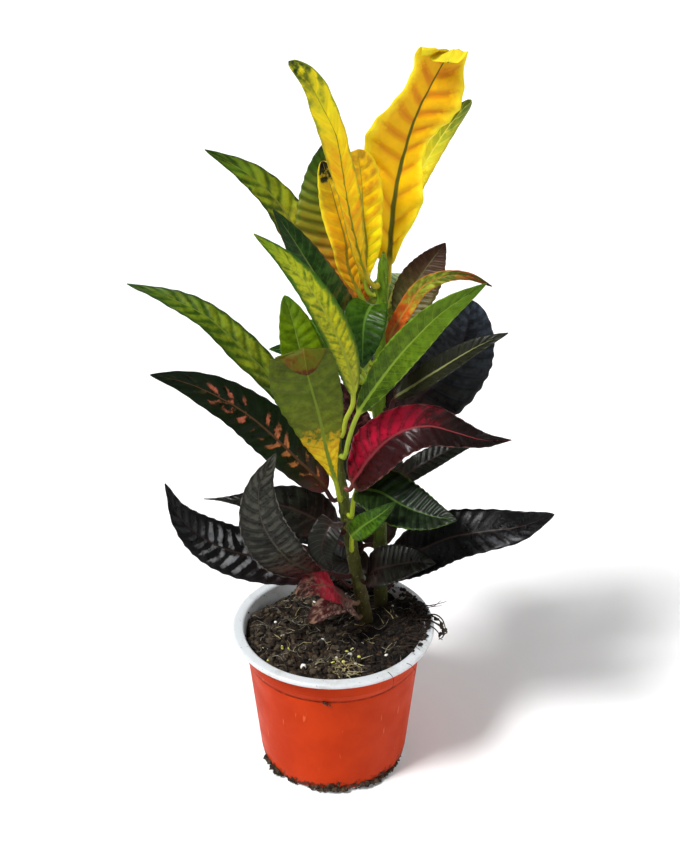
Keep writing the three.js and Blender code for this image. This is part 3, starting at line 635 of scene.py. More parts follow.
def leaf_skin(name, seed, ground, streak, share=0.5, grain=(1.6, 2.2), field=0.0, soft=0.07, zone=(0.0, 1.0),
              one_side=False, vein="#8a9a3c", vein_show=0.3, rib="#7d8c34", rib_wide=1.3, edge="#2c4014",
              edge_show=0.4, edge_wide=0.08, under="#6a7a3a", stalk="#96a62a", rough=0.35, coat=0.05,
              glow=0.08, stain=0.35):
    """The skin of one leaf, drawn along its own rib and veins. ground and streak are bands of colours from
    base to tip, and vein and under are one colour or a band. Streaks lie in the zone from rib (0) to edge
    (1), or from left (-1) to right on one_side, and field draws them to the middle of the fields between the
    veins. stain is how dark the mottling gets."""
    material, tree, shader = new_skin(name + "_skin", rough, Specular_IOR_Level=0.08, Coat_Weight=coat,
                                      Coat_Roughness=0.2, Subsurface_Weight=glow, Subsurface_Scale=0.0015)
    growth = wire(tree, "Attribute", attribute_name="growth").outputs["Vector"]
    veining = wire(tree, "Attribute", attribute_name="veining").outputs["Vector"]
    along, sideways, below = wire(tree, "SeparateXYZ", {0: growth}).outputs
    count, run, reach = wire(tree, "SeparateXYZ", {0: veining}).outputs
    away = calc(tree, "ABSOLUTE", sideways)
    flat = wire(tree, "CombineXYZ", {0: run, 1: reach, 2: seed * 7.3}).outputs[0]
    drawn = wire(tree, "CombineXYZ", {0: times(tree, count, grain[0]), 1: times(tree, sideways, grain[1]),
                                      2: seed * 3.1}).outputs[0]
    mottle = speckle(tree, flat, 0.28, 4, 0.55)
    lines = speckle(tree, drawn, 1.0, 3, 0.5)
    furrow = calc(tree, "PINGPONG", count, 0.5)

    def stops(band):
        """Colours along the leaf, from a band such as "0 8a9a3c, 0.5 6a7a3a, 1 2c4014"."""
        marks = [(float(place), paint("#" + code)) for place, code in map(str.split, band.split(","))]
        added = wire(tree, "ValToRGB", {0: plus(tree, along, fade(tree, mottle, 0.3, 0.7, -0.06, 0.06))})
        ramp = added.color_ramp.elements
        ramp[0].position, ramp[0].color = marks[0]
        ramp[1].position, ramp[1].color = marks[-1]
        for place, colour in marks[1:-1]:
            ramp.new(place).color = colour
        return added.outputs[0]

    def tinted(colour):
        return paint(colour) if colour.startswith("#") else stops(colour)

    measure = plus(tree, sideways if one_side else away, fade(tree, mottle, 0.3, 0.7, -0.12, 0.12))
    inside = fade(tree, measure, zone[1] + 0.1, zone[1] - 0.1) if zone[1] < 1 else 1.0
    if one_side or zone[0] > 0:
        inside = times(tree, inside, fade(tree, measure, zone[0] - 0.1, zone[0] + 0.1))
    level = 0.62 - 0.24 * share
    pattern = plus(tree, times(tree, lines, 0.65), times(tree, mottle, 0.35))
    if field:
        pattern = plus(tree, pattern, fade(tree, furrow, 0.05, 0.4, -0.12 * field, 0.12 * field))
    patchy = times(tree, fade(tree, pattern, level - soft, level + soft), inside)
    tint = blend(tree, patchy, stops(ground), stops(streak))
    tint = blend(tree, fade(tree, mottle, 0.35, 0.65, stain, 0.0), tint, paint(MOTTLE_BROWN), "MULTIPLY")
    line = times(tree, fade(tree, furrow, 0.12, 0.02), fade(tree, away, 1.0, 0.7))
    line = times(tree, line, inside if one_side else fade(tree, lines, 0.3, 0.6, 0.4, 1.0))
    tint = blend(tree, times(tree, line, vein_show), tint, tinted(vein))
    brim = fade(tree, plus(tree, away, fade(tree, mottle, 0.3, 0.7, -0.05, 0.05)), 1 - edge_wide, 1.0)
    tint = blend(tree, times(tree, brim, edge_show), tint, paint(edge))
    narrow = calc(tree, "DIVIDE", calc(tree, "ABSOLUTE", reach), calc(tree, "SUBTRACT", 1.05, along))
    tint = blend(tree, fade(tree, narrow, rib_wide, rib_wide * 0.55), tint, paint(rib))
    tint = blend(tree, times(tree, below, 0.6), tint, tinted(under))
    tint = blend(tree, fade(tree, along, 0.05, 0.0), tint, paint(stalk))
    dull = plus(tree, fade(tree, mottle, 0.3, 0.7, rough - 0.05, rough + 0.09), times(tree, below, 0.2))
    tree.links.new(dull, shader.inputs["Roughness"])
    net = wire(tree, "TexVoronoi", {"Vector": flat, "Scale": 0.55}, feature="DISTANCE_TO_EDGE")
    relief = plus(tree, fade(tree, net.outputs["Distance"], 0.0, 0.12),
                  times(tree, speckle(tree, flat, 2.2, 3), 0.7))
    clad(tree, shader, tint, relief, 0.3, 0.00018)
    return material


def grow_leaf(slot, name, stem, at, width, bare, points, faces, shape=(0.6, 0.9), fold=(12, 12),
              half=(1, 1), twist=(0, 0), wave=(0, 1, 0), lobe=0, veins=15, quilt=0.3, crumple=0.25, **look):
    """One leaf in place of its CAD node: the same rib, outline, fold, twist and waves, with finer relief.
    It leaves its stem at a height and runs through the points, all in millimetres. bare is the share that
    is stalk, and faces is where its upper side looks. The rest of the values draw its skin."""
    seed = next(leaf_numbers)
    rib = np.array(points, float)
    axis, radius = stem_at(stem, at)
    outward = (rib[0] - axis) * (1, 1, 0)
    outward /= np.linalg.norm(outward)
    seat = axis + outward * (radius - SUNK)
    knuckle = axis + outward * (radius + KNUCKLE) + np.array((0, 0, 0.5))
    places = np.concatenate([np.linspace(0, bare, STALK_STEPS, endpoint=False),
                             np.linspace(bare, 1, BLADE_STEPS + 1)])
    spine, way, length = rib_line([seat, knuckle, *rib], places)
    chord = (rib[-1] - rib[0]) / np.linalg.norm(rib[-1] - rib[0])
    upper = np.array(faces, float)
    upper -= chord * (chord @ upper)
    upper /= np.linalg.norm(upper)
    across = np.cross(chord, upper)
    u = np.maximum(0, (places - bare) / (1 - bare))
    side = across - way * (way @ across)[:, None]
    side /= np.linalg.norm(side, axis=1, keepdims=True)
    swing = np.radians(spread(twist, u))[:, None]
    side = side * np.cos(swing) + np.cross(way, side) * np.sin(swing)
    lift = np.cross(side, way)

    s = np.linspace(-1, 1, COLUMNS + 1)
    v = 0.62 * s + 0.38 * s ** 3
    U, V = np.meshgrid(u, v, indexing="ij")
    S = np.abs(V)
    left = V < 0
    widest = shape[0] / (shape[0] + shape[1])
    full = U ** shape[0] * (1 - U) ** shape[1] / (widest ** shape[0] * (1 - widest) ** shape[1])
    stagger = np.where(left, STAGGER, 0)
    turn = 2 * np.pi * (wave[1] * U + wave[2] + stagger)
    count = veins * (U - 0.09 * S ** 1.3) + stagger + 0.02 * veins * np.sin(9 * U + seed)
    blade = width / 2 * np.where(left, half[0], half[1]) * full * (1 + lobe * np.cos(turn))
    blade = blade * (1 + SCALLOP * np.cos(2 * np.pi * count) * S)
    reach = blade + spread((STALK_RADIUS, BLADE_THICK / 2), U)
    rise = np.radians(spread(fold, U))
    taper = np.minimum(1, np.minimum(5 * U, 5 * (1 - U)))
    ripple = (wave[0] * np.sin(turn) * S ** 2 + 0.5 * quilt * np.sin(2 * np.pi * count) * S ** 3) * taper
    part = blade / reach
    level = V * reach * spread((1, np.cos(rise)), part)
    height = part * (reach * S * np.sin(rise) + ripple)
    middle = spine[:, None] + level[..., None] * side[:, None] + height[..., None] * lift[:, None]

    def facing(surface):
        normal = np.cross(np.gradient(surface, axis=1), np.gradient(surface, axis=0))
        return normal / (np.linalg.norm(normal, axis=2, keepdims=True) + 1e-12)

    flat = ease(U / 0.12)
    pad = np.abs(np.sin(np.pi * count)) ** 0.7 - 0.5
    pad = pad * ease(S / 0.22) * (1 - S ** 5) * ease(U / 0.1) * ease((1 - U) / 0.08)
    span = U * length
    rumple = np.array([[noise.noise(Vector((a * CRUMPLE_GRAIN, b * CRUMPLE_GRAIN, seed * 3.7)))
                        for a, b in zip(row_a, row_b)] for row_a, row_b in zip(span, level)])
    middle = middle + facing(middle) * (flat * (quilt * pad + crumple * rumple))[..., None]
    normal = facing(middle)
    stout = STALK_RADIUS * (1 + 0.35 * np.exp(-(places * length / 2.5) ** 2))[:, None]
    round_off = stout * np.sqrt(1 - 0.985 * V ** 2)
    thin = BLADE_THICK / 2 * np.sqrt(1 - 0.85 * S ** 6)
    ridge = np.exp(-(level / RIDGE_WIDE) ** 2) * (1 - U)
    top = middle + normal * spread((round_off, thin + TOP_RIDGE * ridge), flat)[..., None]
    under = middle - normal * spread((round_off, thin + RIB_DEPTH * ridge), flat)[..., None]

    around = 2 * COLUMNS + 2
    bm, rows = wrapped_grid(len(places) - 1, around)
    k, j = rows[:, 0], rows[:, 1] % around
    above = j <= COLUMNS
    column = np.where(above, j, around - 1 - j)
    layers = [bm.verts.layers.float_vector.new(n) for n in ("growth", "veining")]
    below = np.where(above, 0.0, 1.0)
    shares = np.stack([U[k, column], V[k, column], below], axis=1)
    drawing = np.stack([count[k, column], places[k] * length, level[k, column]], axis=1)
    for vert, first, second in zip(bm.verts, shares, drawing):
        vert[layers[0]] = Vector(first)
        vert[layers[1]] = Vector(second)
    close_tube(bm, np.where(above[:, None], top[k, column], under[k, column]))
    set_down(bm, name, [leaf_skin(name, seed, **look)], name)


yellow_leaf = functools.partial(grow_leaf, "leaf_yellow", shape=(0.9, 0.45), veins=11, quilt=1, field=0.6,
    edge_show=0.75, rough=0.4, glow=0.15)
yellow_leaf("leaf_tall_yellow", TALL, 303, 31, 0.1, [(31, 21, 329), (34, 23, 358), (42, 22, 391),
    (53, 21, 415), (60, 16, 428), (57, 8, 423)], (-0.1, -1, 0.1), shape=(0.6, 0.34), fold=(14, 10),
    half=(1.15, 0.92), twist=(0, 24), wave=(2.6, 2.2, 0.45), lobe=0.3, quilt=1.5, crumple=0.9,
    ground="0 f4cc06, 0.3 ecbc06, 0.6 e4b008, 0.85 e0a80c, 1 a8a020",
    streak="0 ecbc0a, 0.3 e2ac0a, 0.5 dc980a, 0.8 d08210, 0.92 d49a12, 1 6c7820", share=0.45,
    grain=(0.4, 0.3), field=-2.2, soft=0.24, zone=(0, 0.6), vein="#c47c10", vein_show=0.5, rib="#565610",
    rib_wide=2.1, edge="#efdc28", edge_show=0.85, edge_wide=0.36, under="#e6d62a", stalk="#b8a424",
    stain=0.12)
yellow_leaf("leaf_young_green", TALL, 292, 13, 0.2, [(32, 29, 317), (42, 37, 348), (58, 43, 376),
    (73, 48, 394)], (-0.5, -1, 0.3), shape=(0.6, 0.5), fold=(25, 20), veins=14, quilt=0.25,
    ground="0 b8a81c, 0.25 dcc81c, 0.55 dccc20, 0.76 b4b020, 0.86 56681a, 1 2c4410",
    streak="0 b8a81c, 0.5 e8dc38, 0.8 8a9420, 1 3c5414", field=0, vein="#e8dc50", rib="#c8c04c",
    edge="#5a6a1a", edge_show=0.6, edge_wide=0.12, under="#b4b440", rough=0.38, glow=0.2)
yellow_leaf("leaf_left_yellow", TALL, 304, 13, 0.08, [(17, 5, 314), (12, 0, 334), (8, -6, 355), (5, -12, 376),
    (2, -17, 394), (-5, -21, 410), (-11, -24, 422), (-20, -26, 432)], (0.1, -1, 0.2), fold=(10, 15),
    half=(0.9, 1), wave=(1.4, 1.6, 0.5), lobe=0.3, veins=12, crumple=0.7,
    ground="0 c0a814, 0.2 ecc00e, 0.45 f6cc0e, 0.7 f4dc14, 0.9 e4d81c, 0.97 4c6014, 1 122808",
    streak="0 b88c14, 0.35 e49c10, 0.52 e69c0c, 0.66 dcb814, 0.8 b8b420, 1 1c380f", share=0.42,
    grain=(1.2, 0.8), soft=0.15, vein="#c8a414", rib="#7c7c14", rib_wide=1, edge="#6c8020", edge_wide=0.2,
    under="#c9a83c", stalk="#b5a32a", stain=0.15)
yellow_leaf("leaf_inner_yellow", TALL, 298, 25, 0.14, [(17, 12, 307), (18, 12, 325), (16, 12, 344),
    (15, 11, 362), (13, 10, 379)], (0.1, -1, 0.3), fold=(10, 10), half=(1, 0.8), wave=(1, 3, 0.2),
    crumple=0.8, ground="0 f4e00c, 0.4 fce60e, 0.7 f8d00e, 1 d8ac1c",
    streak="0 f0cc0c, 0.4 ecbc0c, 0.7 d4900e, 1 a88018", share=0.34, grain=(1.6, 1.8), field=0.5, soft=0.14,
    vein="#d0ac14", rib="#94901c", edge="#e6d420", edge_show=0.6, edge_wide=0.25, under="#c09018", stain=0.12)
yellow_leaf("leaf_left_gold", TALL, 288, 16, 0.2, [(9, 9, 313), (7, 7, 330), (3, 6, 346), (-1, 4, 362),
    (-5, 3, 375)], (0.1, -1, 0.3), shape=(0.9, 0.6), wave=(0.8, 2, 0), quilt=0.8, crumple=0.6,
    ground="0 dc9c10, 0.4 f0b40c, 0.75 f4c80e, 0.86 d8bc1c, 0.92 2a2e0c, 1 0a0c06",
    streak="0 c88810, 0.5 e49c0e, 0.85 b89a18, 0.92 1c200a, 1 0a0c06", share=0.4, grain=(1.2, 1), soft=0.15,
    vein="0 c0981a, 0.84 c0981a, 0.9 2a2e0c, 1 0a0c06", rib="#8a7a1c", edge="#f0dc28", edge_wide=0.3,
    under="#b88a20", glow=0.12, stain=0.15)

# Orange leaves: one on the left below the yellow pair, ladder-ridged and green towards the tip, and one
# narrow twisted leaf on the right. The tissue between the side veins has turned first.
orange_leaf = functools.partial(grow_leaf, "leaf_orange")
orange_leaf("leaf_left_orange", TALL, 282, 38, 0.12, [(11, 19, 296), (5, 23, 315), (0, 27, 334),
    (-3, 32, 354), (-4, 38, 374)], (-0.2, -1, 0.2), shape=(0.45, 0.8), fold=(6, 12), half=(1.1, 0.7),
    wave=(1.2, 3, 0), veins=17, quilt=1, crumple=0.6,
    ground="0 d0701c, 0.2 d88a24, 0.36 c08c26, 0.48 a09028, 0.66 7c8420, 0.86 3c5a12, 1 122808",
    streak="0 b0641a, 0.25 98601a, 0.4 705a16, 0.6 546010, 0.8 2a460c, 1 0e1e08", grain=(0.7, 1.1), field=-1,
    soft=0.2, vein="#5c4812", vein_show=0.5, rib="#9c6426", edge="#3c5a1c", edge_show=0.3, under="#a87c34",
    stalk="#c98a44", rough=0.38)
orange_leaf("leaf_right_twisted", TALL, 262, 8, 0.1, [(32, 8, 277), (39, 4, 293), (47, 2, 307), (59, -2, 315),
    (71, -5, 316), (83, -7, 311)], (-0.4, -1, 0.4), fold=(30, 20), twist=(0, 30), veins=16, quilt=0.5,
    ground="0 8a4a1c, 0.2 c8541c, 0.36 cc6020, 0.46 7c8424, 0.72 4c6014, 1 0e1008",
    streak="0 a8622c, 0.3 a85c1c, 0.45 a0a030, 0.7 94a034, 0.85 8a3c1c, 1 14180a", share=0.42,
    grain=(1.2, 1.4), soft=0.09, vein="#8a4a20", vein_show=0.35, rib="#b07830", edge="#cc4c1c",
    edge_show=0.65, edge_wide=0.14, under="#7c6428", rough=0.36)

# Yellow-green leaves: still young, with the green kept along the rib and edges and the fields between the
# side veins paling to yellow. They hang from both stems, one faces back, and one at the front has its tip
# bent over.
yellow_green_leaf = functools.partial(grow_leaf, "leaf_yellow_green", share=0.45, field=0.3, glow=0.05)
yellow_green_leaf("leaf_left_olive", TALL, 268, 20, 0.2, [(12, 27, 284), (-3, 34, 304), (-18, 40, 322),
    (-31, 46, 340), (-48, 51, 354), (-69, 55, 365)], (0.1, -0.8, 0.8), fold=(15, 20), wave=(0.8, 3, 0),
    veins=12, quilt=0.7, crumple=0.5, ground="0 c48a3a, 0.12 74701c, 0.35 46560f, 0.75 2a440c, 1 142a08",
    streak="0 d29a44, 0.25 a89a22, 0.6 8e981c, 0.85 587418, 1 223e0e", share=0.55, grain=(0.7, 0.9),
    field=0.8, soft=0.2, zone=(-0.1, 0.9), vein="#2a4412", rib="#6c7028", edge="#12280a", edge_show=0.7,
    edge_wide=0.12, under="#5c6a2c", glow=0.04)
yellow_green_leaf("leaf_back_upper", TALL, 264, 24, 0.14, [(28, 32, 274), (33, 50, 282), (37, 68, 284),
    (40, 86, 281)], (0, -0.3, 1), fold=(14, 14), veins=14, ground="0 7f8c2a, 0.4 567a1a, 1 2f5414",
    streak="0 b8b440, 0.5 94a430, 1 5c7f20", grain=(0.9, 1.4), field=0, vein="#c0c45a", vein_show=0.35,
    rib="#c2bf5a", glow=0.08)
yellow_green_leaf("leaf_front_yellow_green", SHORT, 226, 15, 0.24, [(7, -15, 237), (11, -19, 250),
    (9, -23, 269), (3, -28, 291), (-9, -32, 317), (-23, -36, 337), (-38, -37, 351)], (0.2, -1, 0.5),
    shape=(0.7, 0.9), fold=(20, 15), veins=18, quilt=0.5, ground="0 8f9830, 0.3 6c8414, 0.7 4c7012, 1 264a0c",
    streak="0 b0b43c, 0.3 c4c01c, 0.8 a8b01c, 1 5c7c18", share=0.7, grain=(1.8, 1.6), soft=0.13,
    zone=(0, 0.75), vein="#5c7c14", vein_show=0.35, rib="#98a02c", edge="#284e08", edge_show=0.9,
    edge_wide=0.26, under="#66782c", stalk="#a6b236")
# Its ground and streaks darken a little about three quarters along, just under its bent-over tip: a painted
# shadow of the tip.
yellow_green_leaf("leaf_front_green", SHORT, 184, 34, 0.16, [(2, -18, 199), (-3, -28, 225), (-7, -37, 252),
    (-12, -45, 277), (-14, -51, 294), (-14, -57, 298), (-12, -61, 286)], (0, -1, 0.3), shape=(1.4, 0.62),
    half=(1.15, 0.9), wave=(0.8, 2.5, 0), quilt=0.7, crumple=0.6,
    ground="0 d0b00a, 0.2 dcaa0a, 0.3 c49c0c, 0.34 565e06, 0.6 4c5c04, 0.74 465204, 0.92 4c5208, 1 442c0a",
    streak="0 e0c81c, 0.27 d8b81c, 0.36 66700e, 0.6 5c6c0e, 0.8 56660c, 0.93 565c0c, 1 50300c", share=0.42,
    grain=(1, 1.2), soft=0.12, vein="#5c6c14", rib="#66781a", rib_wide=1.7, edge="#344c0a",
    under="0 50580e, 0.9 4c500e, 0.97 58380e, 1 3c140a", stalk="#98a428", glow=0.02)
yellow_green_leaf("leaf_front_upper", SHORT, 202, 23, 0.2, [(-5, -12, 231), (-11, -17, 255), (-16, -21, 278),
    (-20, -24, 298), (-24, -26, 314)], (0, -1, 0.3), shape=(0.8, 0.7), fold=(14, 14), half=(0.9, 1.1),
    veins=14, quilt=0.6, crumple=0.5, ground="0 42600a, 0.4 527008, 0.8 5e8008, 1 3a5c08",
    streak="0 56700e, 0.5 6e8c0e, 0.9 789610, 1 466a0c", grain=(0.9, 1), field=0.4, soft=0.18, vein="#7c9a2c",
    rib="#86a03a", edge="#284c08", edge_show=0.6, edge_wide=0.1, under="#5c6c24")
yellow_green_leaf("leaf_left_long_olive", SHORT, 214, 17, 0.14, [(-12, -1, 226), (-30, 6, 247),
    (-49, 12, 266), (-68, 19, 282), (-90, 26, 291), (-113, 33, 296)], (0.1, -0.8, 1), fold=(15, 15),
    wave=(0.8, 3, 0), veins=13, quilt=0.8, crumple=0.5, ground="0 3f4c14, 0.5 36500e, 0.8 28460c, 1 14300a",
    streak="0 6c7020, 0.4 7c8a1c, 0.75 6c8018, 0.9 466016, 1 22440e", share=0.5, grain=(0.7, 0.8), field=0.7,
    soft=0.2, zone=(0.02, 0.85), vein="#24400e", vein_show=0.35, rib="#5c6c20", edge="#12300a",
    edge_show=0.85, edge_wide=0.16, under="#5c6a2c", glow=0.04)
yellow_green_leaf("leaf_right_long_green", SHORT, 212, 17, 0.26, [(9, -15, 226), (14, -20, 244),
    (27, -26, 269), (40, -32, 290), (56, -37, 310), (76, -42, 327)], (-0.2, -1, 0.4), shape=(0.8, 0.9),
    fold=(20, 20), veins=18, quilt=0.5, ground="0 22360a, 0.2 30480a, 0.5 445f08, 0.85 4c680c, 1 2f500c",
    streak="0 2c420c, 0.5 56700f, 1 425f10", share=0.4, grain=(1.2, 1), field=0.4, soft=0.15, vein="#6c8420",
    rib="#6c8428", edge="#76982a", edge_show=0.6, under="#607c30", stalk="#94a638")

# Dark green leaves: half grown, with paler side veins and a waxy upper face that greys where it turns to
# the light.
dark_green_leaf = functools.partial(grow_leaf, "leaf_dark_green", veins=14, share=0.4)
dark_green_leaf("leaf_left_dark_green", TALL, 258, 19, 0.2, [(16, 9, 270), (5, 4, 290), (-7, 1, 311),
    (-18, -1, 331), (-30, -4, 352)], (0.2, -1, 0.5), fold=(20, 20), veins=17,
    ground="0 42401a, 0.3 213c14, 1 16300e", streak="0 6c4c20, 0.5 34501c, 1 1c3c12", share=0.35,
    grain=(1.2, 1.2), vein="#4c6a26", rib="#5a6c2c", edge="#6a3c1c", edge_show=0.7, edge_wide=0.07)
dark_green_leaf("leaf_left_inner_green", TALL, 246, 17, 0.2, [(13, 8, 258), (0, 5, 266), (-16, 2, 270),
    (-34, 0, 272)], (0.1, -0.6, 1), fold=(15, 15), veins=16, ground="0 44521f, 0.4 26461a, 1 1a3612",
    streak="0 5c6a26, 1 335620", vein="#5c7c30", vein_show=0.35, rib="#6c8038")
dark_green_leaf("leaf_centre_green", TALL, 290, 22, 0.15, [(21, 3, 296), (17, -5, 291), (16, -11, 280),
    (16, -15, 268)], (0, -1, 0.6), fold=(15, 15), veins=11, quilt=0.35, crumple=0.6,
    ground="0 2c4c08, 0.5 224008, 1 16300c", streak="0 44640f, 0.6 305410, 1 3c5c34", soft=0.16,
    vein="#44661c", vein_show=0.2, rib="#507024", edge="#0e2808", rough=0.3, coat=0.08)
dark_green_leaf("leaf_right_brown", TALL, 272, 24, 0.25, [(38, 15, 287), (44, 20, 300), (52, 27, 310),
    (61, 33, 320)], (-0.3, -1, 0.4), half=(0.75, 1.1), quilt=0.6,
    ground="0 5c5c30, 0.3 544c24, 0.6 463020, 1 341a14", streak="0 76764a, 0.3 66623a, 0.6 58402a, 1 28140e",
    share=0.45, grain=(1.2, 1), soft=0.11, vein="#5c5438", vein_show=0.25, rib="#5c5834", edge="#20140c",
    rough=0.32)
dark_green_leaf("leaf_right_dark_green", SHORT, 172, 28, 0.25, [(13, -13, 190), (25, -18, 194),
    (39, -25, 189), (53, -32, 187), (67, -38, 188)], (0, -0.8, 1), fold=(10, 10), veins=15, quilt=0.7,
    ground="0 16240a, 0.3 0a1606, 0.7 0a1607, 1 161e12", streak="0 22340e, 0.5 102408, 1 262e22", share=0.35,
    grain=(1.2, 1), soft=0.11, vein="#2c4416", vein_show=0.25, rib="#3c5420", edge="#466c14", edge_show=0.5,
    rough=0.32, coat=0.08)
dark_green_leaf("leaf_right_small_green", SHORT, 148, 12, 0.3, [(11, -15, 163), (17, -26, 177),
    (25, -35, 189), (34, -39, 200)], (-0.3, -1, 0.5), fold=(20, 15), quilt=0.25,
    ground="0 2a400a, 0.4 2e4c08, 0.7 1e3808, 1 122608", streak="0 445e10, 0.5 48700e, 1 1c340a", share=0.45,
    soft=0.15, vein="#567420", rib="#587626", edge="#183408", edge_show=0.7, edge_wide=0.16)
dark_green_leaf("leaf_back_left_upper", TALL, 234, 26, 0.14, [(14, 32, 242), (1, 47, 250), (-13, 62, 254),
    (-28, 76, 254)], (0, -0.4, 1), fold=(14, 14), ground="0 5c6c26, 0.4 2f5a1a, 1 1e4214",
    streak="0 8a8a34, 0.6 4c7424, 1 2f5a1c", share=0.42, vein="#6c8a38", vein_show=0.35, rib="#7c9040")
dark_green_leaf("leaf_back_right_upper", TALL, 246, 22, 0.14, [(33, 36, 254), (41, 52, 261), (50, 66, 263),
    (59, 79, 259)], (0, -0.4, 1), ground="0 4c5c20, 0.4 2a4a18, 1 1c3812",
    streak="0 7a7c30, 0.6 44641f, 1 2a4c18", share=0.42, vein="#5f7c34", vein_show=0.35, rib="#70843a")
dark_green_leaf("leaf_back_green", TALL, 216, 26, 0.14, [(22, 32, 226), (17, 48, 234), (13, 64, 236),
    (10, 79, 232)], (0, -0.3, 1), ground="0 44521c, 0.4 223f14, 1 17300f",
    streak="0 66682a, 0.6 34501c, 1 203c14", vein="#4c682a", rib="#5f7434")

# Crimson leaf: one on the right, red above its rib where the green has gone, maroon to black below and at
# the tip.
grow_leaf("leaf_crimson", "leaf_right_crimson", SHORT, 190, 27, 0.08, [(14, -14, 202), (23, -18, 219),
    (36, -20, 232), (51, -22, 237), (66, -22, 233), (81, -23, 229), (96, -23, 229)], (0, -1, 0.6),
    shape=(0.5, 1.1), fold=(10, 10), wave=(1.5, 3, 0), veins=17, quilt=0.7, crumple=0.6,
    ground="0 2c100f, 0.25 380f12, 0.5 2c0e10, 0.7 160b09, 1 0f0908",
    streak="0 5c1c20, 0.14 8c0c26, 0.4 b00c30, 0.52 980e2c, 0.6 3c1214, 0.7 180c0a, 1 120b09", share=0.8,
    grain=(1.2, 0.8), field=0.9, soft=0.2, zone=(-1.2, -0.02), one_side=True,
    vein="0 5c1c24, 0.25 9c2038, 0.5 8c2034, 0.62 241012, 1 120b09", vein_show=0.4, rib="#7a3034",
    edge="#8a5a54", edge_show=0.45, edge_wide=0.05, under="#5a2a2c", stalk="#6c3a34", rough=0.3, coat=0.1)

# Black leaves: the oldest, nearly black above, with painted grey highlights along the side veins and on some
# ridges between them, and maroon in the stalk. They ring the lower half of both stems.
black_leaf = functools.partial(grow_leaf, "leaf_black", veins=14, streak="0 331a1a, 0.4 1e2018, 1 181a14",
    share=0.35, grain=(1.3, 1.2), vein="#3c3d36", vein_show=0.22, rib="#2f221e", edge="#0a0a08",
    under="#241a18", stalk="#381c1a", rough=0.31, coat=0.07, glow=0)
# Its slate-grey streaks towards the tip are a painted sheen.
black_leaf("leaf_right_blue_black", TALL, 212, 42, 0.14, [(39, 21, 225), (51, 24, 234), (64, 29, 245),
    (73, 35, 261), (78, 41, 283)], (0.2, -1, 0.5), shape=(0.5, 0.6), fold=(10, 10), wave=(1.5, 3, 0.3),
    veins=15, quilt=0.8, crumple=0.7, ground="0 241214, 0.3 121214, 0.7 13161b, 1 1a1e26",
    streak="0 381a1c, 0.4 20221f, 0.7 282d33, 1 39424e", field=0.8, soft=0.14, vein="#30363c")
black_leaf("leaf_right_olive_black", TALL, 228, 14, 0.15, [(35, 11, 237), (48, 11, 247), (64, 10, 259),
    (79, 10, 269), (95, 10, 277)], (0.1, -0.6, 1), fold=(20, 20), veins=16, quilt=0.4,
    ground="0 2c2e16, 0.5 1e2010, 1 1a1c10", rib="#7a7d4c")
black_leaf("leaf_right_narrow_black", TALL, 170, 13, 0.15, [(34, 12, 180), (46, 10, 192), (60, 12, 200),
    (75, 15, 206), (88, 18, 207)], (0, -0.6, 1), veins=15, ground="0 2c1c18, 0.3 171a12, 1 14170f")
# Its grey streaks on one side towards the tip are painted highlights.
black_leaf("leaf_bottom_right_black", TALL, 112, 31, 0.12, [(36, 14, 124), (49, 3, 141), (67, -7, 157),
    (86, -13, 165), (105, -19, 172), (122, -24, 183)], (0, -0.8, 1), shape=(0.38, 0.75), fold=(10, 10),
    wave=(1.5, 2, 0.1), veins=16, quilt=0.5, ground="0 1f1416, 0.3 0a0a0c, 1 08080a",
    streak="0 1c1214, 0.5 0c0c0d, 0.66 2e2f32, 0.8 3c3d41, 0.9 161618, 1 0e0e10", share=0.12,
    grain=(1.1, 1.2), field=0.9, soft=0.1, zone=(0.3, 1.2), one_side=True, vein="#1c1d20", vein_show=0.2)
black_leaf("leaf_back_left_low", TALL, 104, 30, 0.12, [(16, 33, 110), (0, 40, 109), (-18, 45, 106),
    (-34, 48, 100)], (0, -0.3, 1), fold=(10, 10), ground="0 2c2018, 0.4 181a11, 1 14160f")
black_leaf("leaf_back_right_low", TALL, 98, 30, 0.12, [(40, 35, 107), (53, 46, 111), (67, 57, 109),
    (82, 67, 101)], (0, -0.3, 1), fold=(10, 10), ground="0 2a1c18, 0.4 131511, 1 10120e")
black_leaf("leaf_back_left_middle", TALL, 168, 28, 0.12, [(12, 34, 178), (-5, 48, 184), (-24, 61, 186),
    (-45, 72, 183)], (0, -0.4, 1), ground="0 33301a, 0.4 1c2812, 1 16200e")
black_leaf("leaf_back_right_middle", TALL, 196, 28, 0.12, [(38, 29, 208), (52, 43, 219), (66, 56, 228),
    (80, 68, 236)], (0, -0.6, 1), ground="0 33241c, 0.4 1a1e16, 1 161a13")
black_leaf("leaf_back_centre", TALL, 152, 30, 0.12, [(27, 42, 165), (26, 62, 170), (25, 82, 166),
    (25, 100, 155)], (0, -0.2, 1), ground="0 2c2018, 0.4 161a10, 1 12160d")
black_leaf("leaf_left_black_green", SHORT, 182, 26, 0.1, [(-7, -11, 196), (-22, -14, 215), (-40, -15, 235),
    (-57, -16, 249), (-77, -17, 260), (-96, -19, 266)], (0.2, -0.9, 0.8), wave=(1, 3, 0), quilt=0.8,
    ground="0 5c2222, 0.1 33221a, 0.25 101e07, 0.6 0c1806, 1 0a1408",
    streak="0 a8543c, 0.15 b8743c, 0.3 a8683a, 0.5 b8624a, 0.72 b4604a, 0.8 2c2a14, 1 0e1a0a", share=0.22,
    grain=(1.3, 1.6), field=-0.5, soft=0.05, zone=(0.1, 0.5), vein="#24341a", rib="#4c3420")
